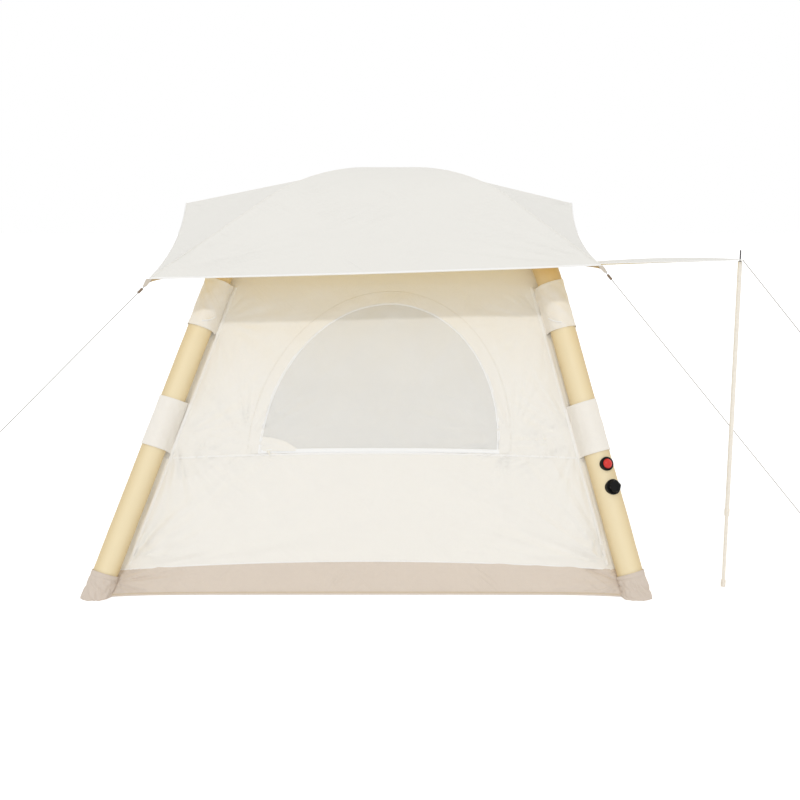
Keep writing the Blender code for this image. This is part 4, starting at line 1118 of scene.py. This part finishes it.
mesh_cloth, tree, shader = new_finish("mesh_cloth", 0.85)
axes, soft = axes_of(tree, on_cloth(tree)), soft_at(tree, 7.0)
hole = number(
    tree, "MULTIPLY", *[number(tree, "ABSOLUTE", waves(tree, axes[axis], 2 * MESH_PITCH)) for axis in ("X", "Y")]
)
strand_tone = blend_colours(tree, soft["Tone"], ink(239, 238, 234), ink(248, 247, 242))
shade = blend_colours(tree, hole, strand_tone, ink(235, 233, 228))
cover = number(tree, "MULTIPLY_ADD", hole, -0.22, 1.0)
woven = bump(tree, number(tree, "SUBTRACT", 1.0, hole), 0.0002)
give(tree, shader, base_color=shade, alpha=cover, normal=bump(tree, soft["Height"], 0.003, woven))


def evenly(points, steps):
    """The same line through points spaced evenly along it."""
    lengths = lengths_along(points)
    spaced, index = [], 0
    for step in range(steps + 1):
        wanted = lengths[-1] * step / steps
        while index < len(points) - 2 and lengths[index + 1] < wanted:
            index += 1
        share = (wanted - lengths[index]) / (lengths[index + 1] - lengths[index])
        spaced.append(points[index].lerp(points[index + 1], clipped(share)))
    return spaced


def coil_along(centres, up):
    """A zip's coil: a half-round rib line, pinched between its teeth."""
    total = lengths_along(centres)[-1]
    line = evenly(centres, 2 * round(total / COIL_PITCH))
    last = len(line) - 1

    def place(across, along):
        index = round(along * last)
        way = way_at(line, index)
        side = way.cross(up).normalized()
        turn = 2 * pi * across
        wide = COIL_RADIUS * (1.0 if index % 2 else 0.78)
        return line[index] + side * cos(turn) * wide + side.cross(way) * sin(turn) * wide * 0.62

    return close_round(laid_grid(8, last, place, flat_size(6 * COIL_RADIUS, total)))


def opening_line(side, kind, out):
    """The zip's line on the wall, round an opening and back along its sill."""
    flat = opening_outline(kind, ZIP_TAPE_WIDTH / 2, 150)
    flat += straight(flat[-1], flat[0], round((flat[0] - flat[-1]).length / 0.012))[1:]
    return [on_wall(side, *spot, out) for spot in flat]


def zip_round(side, kind):
    """A zip's tape and its coil."""
    out = wall_way(side)
    line = opening_line(side, kind, 0.0002)
    stands_for = [f"{side}_window_binding"] if kind == "window" else ["door_binding"]
    sew_tape(f"{side}_{kind}_zip_tape", line, out, ZIP_TAPE_WIDTH, 0.0016, white_tape, stands_for)
    bm = coil_along(opening_line(side, kind, 0.0010), out)
    dress(bm, f"{side}_{kind}_zip_coil", zip_coil, smooth=80)


def facing(side, kind, width):
    """The wide facing outside a zip: a strip that follows the arch, sewn down along its outer edge."""
    columns = 150

    def place(across, along):
        share = 1.018 * along - 0.009
        past = max(0.0, -share, share - 1)
        spot = arch_point(kind, clipped(share), FACING_START + (width - FACING_START) * across)
        ripple = rough(along * 34, across * 1.3, 4.0) * 0.0012
        lift = 0.0010 - 0.0010 * across + (ripple + 0.0004) * sin(pi * across)
        return on_wall(side, spot.x, spot.y - past * 1.6, lift)

    bm = laid_grid(9, columns, place, flat_size(width, 1.9))
    band = dress(bm, f"{side}_{kind}_facing", cream_cloth, away_from=INSIDE)
    thicken(band, 0.0003)
    half_way = [arch_point(kind, share, width / 2) for share in even_shares(columns)]
    lengths_along(half_way)[-1]
    line = [on_wall(side, *arch_point(kind, share, width - 0.003), -0.0001) for share in even_shares(columns)]
    sew_tape(f"{side}_{kind}_facing_edge", line, wall_way(side), FACING_EDGE_WIDTH, 0.0017, facing_edge)


def window_mesh(side):
    """Mesh stretched inside the zip, with slight slanting waves."""
    inner = opening_outline("window", 0.004)
    centre = Vector((WINDOW_SHIFT + 0.02, WINDOW_SILL + 0.26))
    rim = [edge_towards(inner, centre, way) for way in spokes(centre, 200, [inner[0], inner[-1]])]

    def flat_at(across, along):
        return centre.lerp(rim[round(across * len(rim)) % len(rim)], along)

    def place(across, along):
        x, y = flat_at(across, along)
        wave = rough((x - y * 0.9) * 6, (y + x) * 1.2, 6.0) * 0.0045
        wave += rough((x - y * 0.8) * 19, (y + x) * 2.2, 9.0) * 0.0014
        return on_wall(side, x, y, wave * smooth_step(1 - along, 0, 0.25) - 0.0008)

    bm = laid_grid(len(rim), 40, place, flat_at)
    net = dress(bm, f"{side}_window_net", mesh_cloth, [f"{side}_window_mesh"], INSIDE)


def cover_corner(side, end):
    """A corner of the folded-down cover, at the foot of the mesh."""
    way, wide, high, back = COVER_CORNERS[end]

    def place(across, along):
        tall = high * sqrt(1 - across**1.6) + 0.002
        y = WINDOW_SILL - 0.004 + tall * along
        height = max(0.0, (y - WINDOW_SILL) / WINDOW_RISE)
        edge = WINDOW_SHIFT + way * (WINDOW_HALF_WIDTH * sqrt(1 - height * height) + 0.004)
        x = edge - way * wide * across * (1 - 0.25 * along)
        puff = 0.0012 + 0.0030 * sin(pi * across) * (1 - along) + 0.0012 * rough(x * 40, y * 40, way)
        return on_wall(side, x, y, puff + back)

    bm = laid_grid(24, 8, place, flat_size(wide, high))
    flap = dress(bm, f"{side}_window_cover_{end}", cream_cloth, away_from=INSIDE)
    thicken(flap, 0.0006)


def sill_band(side):
    """The white strip along the sill that carries the zip's lower tape."""
    reach = WINDOW_HALF_WIDTH + ZIP_TAPE_WIDTH
    line = []
    for share in across_shares(90):
        bow = 0.007 * (1 - share**2)
        line.append(on_wall(side, WINDOW_SHIFT + reach * share, WINDOW_SILL - SILL_BAND / 2 + 0.003 + bow, 0.0018))
    sew_tape(f"{side}_window_sill_band", line, wall_way(side), SILL_BAND, 0.0020, white_tape)


for side in WINDOW_WALLS:
    zip_round(side, "window")
    facing(side, "window", FACING_WIDTH)
    window_mesh(side)
    sill_band(side)
    for end in COVER_CORNERS:
        cover_corner(side, end)

SLIDER_LENGTH = 0.026
SLIDER_WIDTH = 0.012
SLIDER_DEPTH = 0.006
SLIDER_MARGIN = 0.020
slider_paint = cast_finish("slider_paint", ink(232, 228, 219), 0.5, spread=0.12, scale=1500.0)


def rounded_block(bm, size, matrix, offset):
    """A box of that size with rounded edges, put in place by a matrix."""
    made = bmesh.ops.create_cube(bm, size=1)["verts"]
    bmesh.ops.scale(bm, vec=size, verts=made)
    edges = list({edge for vert in made for edge in vert.link_edges})
    done = bmesh.ops.bevel(bm, geom=edges, offset=offset, segments=3, profile=0.5, affect="EDGES", material=-1)
    verts = list({vert for face in done["faces"] for vert in face.verts} | {v for v in made if v.is_valid})
    bmesh.ops.transform(bm, matrix=matrix, verts=verts)


slider_x = WINDOW_SHIFT - WINDOW_HALF_WIDTH + SLIDER_MARGIN + SLIDER_LENGTH / 2
slider_frame = wall_frame("front", 2 * GAP + FABRIC + SLIDER_DEPTH / 2)
slider_frame = slider_frame @ Matrix.Translation((slider_x, WINDOW_SILL - 0.006, 0))
bm = bmesh.new()
rounded_block(bm, (SLIDER_LENGTH * 0.62, SLIDER_WIDTH, 0.0042), slider_frame, 0.0016)
ridge_frame = slider_frame @ Matrix.Translation((0, 0, 0.0022))
rounded_block(bm, (SLIDER_LENGTH * 0.4, 0.0032, 0.0030), ridge_frame, 0.0010)
tilt = Matrix.Translation((0.004, -0.010, 0.0024)) @ Matrix.Rotation(radians(-62), 4, "Z")
rounded_block(bm, (0.021, 0.0056, 0.0014), slider_frame @ tilt, 0.0006)
stands_for = ["window_zip_slider"]
dress(bm, "zip_slider_and_pull", slider_paint, stands_for, smooth=40, body="zip_slider")

# Doorway
# The opening in the right wall has the same zip and facing as the windows. Its door is unzipped,
# rolled up sideways and held by two webbing ties with small toggles.

ROLL_RADIUS = 0.036
ROLL_LENGTH = 0.78
TIE_SHARES = (0.22, 0.78)
TIE_SHEET = 0.0018
TIE_WIDTH = 0.020
DOOR_FACING_WIDTH = 0.045
ROLL_TURNS = 6
ROLL_CORE = 0.007

zip_round("right", "door")
facing("right", "door", DOOR_FACING_WIDTH)

webbing, tree, shader = new_finish("webbing", 0.8, sheen_weight=0.2)
axes = axes_of(tree, on_cloth(tree))
herring = number(tree, "MULTIPLY", waves(tree, axes["Y"], 0.0022), waves(tree, axes["X"], 0.0016))
herring = number(tree, "MULTIPLY_ADD", herring, 0.5, 0.5)
# Painted shade: the low parts of the herringbone weave are darker, as the shade in its grooves.
raise_and_shade(tree, shader, herring, ink(196, 184, 166), ink(224, 214, 199), 0.0003)

roll_across = DOOR_HALF_WIDTH + ZIP_TAPE_WIDTH + GAP + TIE_SHEET + ROLL_RADIUS
roll_low = DOOR_SILL + (DOOR_RISE - ROLL_LENGTH) / 2
roll_frame = wall_frame("right", 2 * GAP + TIE_SHEET + ROLL_RADIUS) @ Matrix.Translation((roll_across, roll_low, 0))


def roll_place(across, along):
    turn = 2 * pi * ROLL_TURNS * across
    squeeze = 1.0
    for share in TIE_SHARES:
        squeeze -= 0.13 * exp(-(((along - share) / 0.05) ** 2))
    radius = ROLL_CORE + (ROLL_RADIUS - 0.002 - ROLL_CORE) * across
    loose = 1 + 0.06 * rough(turn * 0.9, along * 5, 2.0) * across
    shift = 0.006 * rough(turn * 0.35, 9.0, 1.0)
    radius = min(radius * loose * (squeeze if across > 0.4 else 1.0), ROLL_RADIUS)
    slide = along * (ROLL_LENGTH - 0.012) + 0.006 + shift
    return roll_frame @ Vector((radius * cos(turn), slide, radius * sin(turn)))


roll_cut = pi * (ROLL_CORE + ROLL_RADIUS) * ROLL_TURNS
bm = laid_grid(ROLL_TURNS * 30, 64, roll_place, flat_size(roll_cut, ROLL_LENGTH))
roll_middle = roll_frame @ Vector((0, ROLL_LENGTH / 2, 0))
door = dress(bm, "door_cloth", cream_cloth, ["rolled_door"], roll_middle)
thicken(door, 0.0009)

toggle_plastic = cast_finish("toggle_plastic", ink(196, 184, 166), 0.5)
for count, share in enumerate(TIE_SHARES, 1):
    rise = share * ROLL_LENGTH
    ways = [Vector((cos(2 * pi * part), 0, sin(2 * pi * part))) for part in even_shares(60)]
    ring = [roll_frame @ (way * (ROLL_RADIUS - 0.0012) + Vector((0, rise, 0))) for way in ways]
    ups = [roll_frame.to_3x3() @ way for way in ways]
    name, stands_for = f"door_tie_strap_{count}", [f"door_tie_{count}"]
    sew_tape(name, ring, ups, TIE_WIDTH, 0.0022, webbing, stands_for)
    spot = roll_frame @ Matrix.Translation((0, rise, ROLL_RADIUS + 0.002)) @ Matrix.Rotation(radians(20), 4, "Z")
    bm = bmesh.new()
    rounded_block(bm, (0.024, 0.0058, 0.0058), spot, 0.0024)
    dress(bm, f"door_toggle_{count}", toggle_plastic, smooth=40)

# Ceiling
# The inner tent's own roof: four gores of cream cloth that hang under the beams from the hub down
# to the walls.

CANOPY_POWER = 2
ceiling_weave = cloth_finish("ceiling_weave", CREAM, 0.78, dents=0.0010, scale=16.0, tone=0.96)


def crown_down(distance_of):
    """The beams' bend from the crown down, moved outwards by distance_of(way) at each point."""
    points = bend_points(60)
    moved = [point + Vector((way.y, -way.x)) * distance_of(way) for point, way in zip(points, bend_ways(points))]
    return moved[::-1]


ceiling_line = [Vector((0, CROWN_HEIGHT - BEAM_RADIUS - GAP)), *crown_down(lambda way: -(WRAP_RADIUS + GAP))]
CORNER_ORDER = ("front_left", "front_right", "rear_right", "rear_left")
ceiling_ridges = [evenly([to_corner(point, corner) for point in ceiling_line], 70) for corner in CORNER_ORDER]


def gored_sheet(ridges, moves, across, relief):
    """Four gores, each a grid between two ridges that meet at the top, joined into one sheet."""
    whole = bmesh.new()
    whole.loops.layers.uv.new("cut")
    rows = len(ridges[0]) - 1
    for index, move in enumerate(moves):
        left, right = ridges[index], ridges[(index + 1) % len(ridges)]
        span = (left[-1] - right[-1]).length

        def place(share, along, index=index, left=left, right=right, move=move):
            row = round(along * rows)
            bow = 4 * share * (1 - share) * along**CANOPY_POWER
            spot = left[row].lerp(right[row], share) + move * bow
            return spot + relief(index, share, along)

        def cut(share, along, span=span, long=lengths_along(left)[-1]):
            return (share - 0.5) * span * along, along * long

        piece = laid_grid(across, rows, place, cut)
        gore = bpy.data.meshes.new("gore")
        piece.to_mesh(gore)
        piece.free()
        whole.from_mesh(gore)
        bpy.data.meshes.remove(gore)
    return whole


def ceiling_relief(index, share, along):
    slack = rough(share * 5 + index * 7, along * 5, 3.0) * 0.006 * sin(pi * share) * sin(pi * along)
    return UP * (slack - 0.0002)


bm = gored_sheet(ceiling_ridges, [Vector()] * 4, 44, ceiling_relief)
ceiling_cloth = dress(bm, "ceiling_cloth", ceiling_weave, ["ceiling"], Vector())
thicken(ceiling_cloth, offset=-1.0)

# Fly
# A square of coated cream cloth with a tan back that glows with painted light, laid over the beams and drawn out at
# its corners.
# Its edges are cut hollow and bound with white tape, and its four gores are joined by ridge seams.

FLY_CORNERS = {
    "front_left": Vector((-0.907, -1.00, 1.337)),
    "front_right": Vector((0.980, -1.00, 1.393)),
    "rear_right": Vector((1.126, 0.85, 1.625)),
    "rear_left": Vector((-1.080, 0.85, 1.625)),
}
UPRIGHT_CORNERS = {corner: LEANING.inverted() @ spot for corner, spot in FLY_CORNERS.items()}
FLY_EASE = 0.024
FLY_SIDE_SAG = 0.030
FLY_SIDE_HOLLOW = 0.025
FLY_END_SAG = 0.006
FLY_END_HOLLOW = 0.012
FLY_ROWS = 110
FLY_COLUMNS = 84

fly_top = cloth_finish("fly_top", ink(241, 239, 233), 0.7, dents=0.0012, scale=14.0, tone=0.96, drawn=0.0014)
# Painted light: the fly's back glows warm yellow, standing in for sunlight let through the cloth, and lights the
# walls, sleeves and beams under the fly.
painted_through_light = {"emission_color": ink(220, 206, 146), "emission_strength": 0.38}
fly_back = cloth_finish("fly_back", ink(212, 184, 108), 0.6, dents=0.0012, scale=14.0, **painted_through_light)


def clear_of_tube(way):
    return (BEAM_RADIUS + GAP) * sqrt(1 + way.y * way.y) + FLY_EASE * way.y


def fly_ridge(corner):
    """Over the hub, along the beam while it carries the fly, then straight out to the fly's corner."""
    tip = UPRIGHT_CORNERS[corner]
    reach = hypot(tip.x, tip.y)
    over_beam = crown_down(clear_of_tube)
    leave = max(over_beam, key=lambda point: (point.y - tip.z) / (reach - point.x))
    line = [Vector((0, over_beam[0].y)), *over_beam[: over_beam.index(leave) + 1]]
    return evenly([to_corner(point, corner) for point in line] + [tip], FLY_ROWS)


fly_ridges = [fly_ridge(corner) for corner in CORNER_ORDER]
FLY_MOVES = [
    Vector((0, FLY_END_HOLLOW, -FLY_END_SAG)),
    Vector((-FLY_SIDE_HOLLOW, 0, -FLY_SIDE_SAG)),
    Vector((0, -FLY_END_HOLLOW, -FLY_END_SAG)),
    Vector((FLY_SIDE_HOLLOW, 0, -FLY_SIDE_SAG)),
]


def fly_relief(index, share, along):
    """Folds drawn out from the two corners of a gore, and broad waves between."""
    span, long = 2.0, 1.45
    x, y = (share - 0.5) * span * along, along * long
    deep = 0.029 if index == 0 else 0.026
    held = [(way * span / 2, long, deep, 0.34, 3.0 * index + way) for way in (-1, 1)]
    edge = min(1.0, sin(pi * share) * 9)
    broad = 0.005 * rough(x * 2.2, y * 2.2, index * 5.0) * sin(pi * share)
    lift = fanned_folds(x, y, held, 9) * edge + broad * along
    lift *= smooth_step(along, 0.25, 0.6) * (1 - 0.92 * smooth_step(along, 0.91, 0.985))
    return UP * (max(lift, -0.010) + 0.0008)


bm = gored_sheet(fly_ridges, FLY_MOVES, FLY_COLUMNS, fly_relief)
fly_cloth = dress(bm, "fly_cloth", fly_top, ["fly"], Vector(), smooth=80)
thicken(fly_cloth, back=fly_back)
for left, right in zip(fly_ridges, fly_ridges[1:] + fly_ridges[:1]):
    height = (left[-1].lerp(right[-1], 0.5) - left[0]).length

FLY_HEM_WIDTH = 0.010
AWNING_HEM_WIDTH = 0.011
RIDGE_TAPE_WIDTH = 0.005
hem_tape = stitched_finish("hem_tape", ink(255, 254, 251), ink(255, 255, 253), AWNING_HEM_WIDTH, 0.5)
ridge_tape = stitched_finish("ridge_tape", ink(251, 248, 240), ink(253, 251, 245), RIDGE_TAPE_WIDTH, 0.5)


def fly_edge(index, share):
    left, right = fly_ridges[index][-1], fly_ridges[(index + 1) % 4][-1]
    bow = 4 * share * (1 - share)
    return left.lerp(right, share) + FLY_MOVES[index] * bow + fly_relief(index, share, 1.0)


fly_hem = [fly_edge(index, step / 120) for index in range(4) for step in range(120)]
fly_hem.append(fly_hem[0].copy())
fly_hem_ups = [(UP * 0.7 + Vector((spot.x, spot.y, 0)).normalized()).normalized() for spot in fly_hem]
sew_tape("fly_hem_binding", fly_hem, fly_hem_ups, FLY_HEM_WIDTH, 0.0034, hem_tape)
for corner, ridge in zip(CORNER_ORDER, fly_ridges):
    line = [spot + UP * 0.0007 for spot in ridge[2:-1]]
    sew_tape(f"fly_ridge_seam_{corner}", line, UP, RIDGE_TAPE_WIDTH, SEAM_THICKNESS, ridge_tape)

# Corner tabs
# Folded webbing sewn under each front corner of the fly, with a gusset of the fly's tan-backed cloth
# behind it that hangs open. The guy line is tied through its end.

TABS = {"front_left": "left", "front_right": "right"}
gusset_cloth = cloth_finish("gusset_cloth", ink(214, 188, 140), 0.65, dents=0.0012, scale=40.0)
for corner, side in TABS.items():
    tip = GUYS[side][0]
    start = FLY_CORNERS[corner] + Vector((0, 0.004, -0.004))
    way = tip - start
    half = UP.cross(way).normalized()
    up = way.cross(half).normalized()
    up = up if up.z > 0 else -up

    def tab_place(across, along, start=start, tip=tip, half=half, up=up):
        wide = 0.0135 - 0.0045 * smooth_step(along, 0.2, 1.0)
        loop_end = 0.0022 * sin(pi * across) * (1 - along)
        x, z = flat_oval(2 * pi * across, wide, 0.0014, 0.5)
        spot = start.lerp(tip, along * 0.985)
        return spot + half * x + up * (z + loop_end)

    bm = close_round(laid_grid(14, 14, tab_place, lambda across, along: ((across - 0.5) * 0.05, along * 0.045)))
    dress(bm, f"tab_webbing_{side}", webbing, [f"corner_tab_{side}"], leans=False)

    inner = 1 if side == "left" else -1
    gusset_long = 0.075 if side == "left" else 0.085

    def gusset_place(across, along, inner=inner, tip=tip, gusset_long=gusset_long):
        share = across * gusset_long / 1.9
        hem = fly_edge(0, share if inner > 0 else 1 - share) + Vector((0, 0.003, -0.0025))
        low = LEANING.inverted() @ tip + Vector((inner * 0.004, 0.006, 0.006))
        drop = hem.lerp(low, along * (1 - across) ** 1.4)
        belly = 0.006 * sin(pi * along) * sin(pi * min(1.0, across + 0.2))
        return drop + Vector((0, 0.4, -0.25)) * belly

    bm = laid_grid(18, 12, gusset_place, flat_size(0.08, 0.04))
    gusset = dress(bm, f"corner_gusset_{side}", gusset_cloth, away_from=Vector((0, 9, 0)))
    thicken(gusset)

# Awning
# A triangle of the fly's cloth from its front right corner and the rear right beam out to the pole,
# bound with tape and pierced by an eyelet at its tip.

POLE_TOP = Vector((1.553, -1.03, 1.416))
AWNING_SHEET = 0.0015
hem_line = UPRIGHT_CORNERS["rear_right"] - UPRIGHT_CORNERS["front_right"]
near_share = 0.050 / hem_line.length
near_bow = 4 * near_share * (1 - 1 / 8)
under_hem = Vector((near_bow * FLY_SIDE_HOLLOW, 0, near_bow * FLY_SIDE_SAG + AWNING_SHEET / 2 + GAP))
awning_near = LEANING @ (UPRIGHT_CORNERS["front_right"] + hem_line * near_share - under_hem)
rear_axis = to_corner(leg_point(1.270), "rear_right")
beside_sleeve = WRAP_RADIUS / sqrt((1 + LEG_WAY.y * LEG_WAY.y) / 2) + 2 * GAP
awning_rear = LEANING @ (rear_axis + Vector((beside_sleeve, 0, 0)))
awning_out = (POLE_TOP - awning_near.lerp(awning_rear, 0.5)).normalized()
awning_end = POLE_TOP + awning_out * 0.012
awning_tip_side = (awning_rear - awning_near).normalized() * 0.016


def awning_rows(share):
    hollow = 4 * share * (1 - share) * 0.05
    start = awning_near.lerp(awning_end - awning_tip_side, share)
    stop = awning_rear.lerp(awning_end + awning_tip_side, share)
    return start, stop + (start - stop).normalized() * hollow


def awning_place(across, along):
    start, stop = awning_rows(along)
    folds = fanned_folds(
        across * (stop - start).length, along * 0.62, [(0, 0, 0.008, 0.12, 1.0), (0.0, 0.62, 0.010, 0.16, 4.0)]
    )
    lift = folds * min(1.0, 8 * across * (1 - across)) * min(1.0, 6 * along * (1 - along) + 0.1)
    billow = 0.020 * sin(pi * across) * sin(pi * along) ** 0.7
    return start.lerp(stop, across) + UP * (lift + billow)


bm = laid_grid(90, 60, awning_place, lambda across, along: (across * (1 - along) * 1.75, along * 1.1))
below = Vector((0.8, 0, -9))
awning_cloth = dress(bm, "awning_cloth", fly_top, ["awning"], below, leans=False)
# The awning's back is the fly's back, whose painted glow stands in for light let through the cloth.
thicken(awning_cloth, back=fly_back)
front_edge, rear_edge = zip(*[awning_rows(share) for share in even_shares(80)])
root_edge = straight(awning_near, awning_rear, 90)
for name, line in (("front", front_edge), ("rear", rear_edge), ("root", root_edge)):
    sew_tape(f"awning_{name}_binding", line, UP, AWNING_HEM_WIDTH, 0.0030, hem_tape, leans=False)

repaint(cast_finish("eyelet_metal", ink(188, 176, 152), 0.3, 1.0, spread=0.12, scale=1500.0), "awning_eyelet")

# Awning pole
# Two sections of powder coated steel tube, the lower one sliding up inside the upper one, with a
# moulded clamp between them, a foot cap and a dark spike that passes through the awning's eyelet.

pole_paint = cast_finish("pole_paint", ink(231, 224, 212), 0.38, spread=0.1, grain=0.00003, coat_weight=0.2)
repaint(pole_paint, "pole_upper_tube", "pole_lower_tube")
repaint(cast_finish("clamp_plastic", ink(231, 224, 212), 0.42), "pole_clamp")
repaint(cast_finish("spike_paint", ink(62, 58, 56), 0.42, spread=0.14), "pole_spike")
repaint(cast_finish("foot_rubber", ink(229, 221, 209), 0.6), "pole_foot")

# Valves
# On the front right beam: a pressure relief valve, a red dome in a black ring, and below it the
# inflation valve, whose black cap is a lobed knob. Both are moulded.

black_gloss = {"roughness": 0.17, "spread": 0.06, "grain": 0.00003, "specular_ior_level": 0.10}
red_gloss = {"roughness": 0.16, "spread": 0.04, "grain": 0.00002, "specular_ior_level": 0.4}
repaint(cast_finish("ring_plastic", ink(15, 15, 16), **black_gloss), "relief_valve_body", "inflation_valve_body")
repaint(cast_finish("cap_plastic", ink(12, 12, 13), **black_gloss), "inflation_valve_cap")
repaint(cast_finish("dome_plastic", ink(202, 40, 32), **red_gloss), "relief_valve_button")
repaint(cast_finish("flap_rubber", ink(60, 60, 62), 0.7), "inflation_valve_flap")

# Stage
# A white floor, an even white sky and one soft sun from the front and above.


def seen_plainly(tree):
    """1 where a surface is looked at straight, mirrored or through glass, and 0 where it only lights others."""
    seen = add(tree, "ShaderNodeLightPath").outputs
    mirrored = number(tree, "MAXIMUM", seen["Is Glossy Ray"], seen["Is Transmission Ray"])
    return number(tree, "MAXIMUM", seen["Is Camera Ray"], mirrored)


WHITE = (1, 1, 1, 1)
floor_paint, tree, shader = new_finish("stage_floor", 0.9, base_color=(0.9, 0.9, 0.9, 1), emission_color=WHITE)
give(tree, shader, emission_strength=number(tree, "MULTIPLY", seen_plainly(tree), 0.45))
bm = bmesh.new()
bmesh.ops.create_grid(bm, x_segments=1, y_segments=1, size=40)
bmesh.ops.translate(bm, vec=(0, 0, -0.001), verts=bm.verts)
mesh = bpy.data.meshes.new("stage_floor")
bm.to_mesh(mesh)
bm.free()
stage_floor = bpy.data.objects.new("stage_floor", mesh)
stage_floor.data.materials.append(floor_paint)
bpy.context.scene.collection.objects.link(stage_floor)

world = bpy.data.worlds.new("studio_sky")
bpy.context.scene.world = world
world.use_nodes = True
tree = world.node_tree
sky = tree.nodes["Background"]
sky.inputs["Color"].default_value = WHITE
give(tree, sky, strength=number(tree, "MULTIPLY_ADD", seen_plainly(tree), 0.20, 0.80))

sun = bpy.data.lights.new("soft_sun", "SUN")
sun.energy = 0.58
sun.angle = radians(2.5)
sun_lamp = bpy.data.objects.new("soft_sun", sun)
sun_lamp.rotation_euler = (radians(49), 0, radians(-4))
bpy.context.scene.collection.objects.link(sun_lamp)

bpy.context.scene.view_settings.view_transform = "Standard"
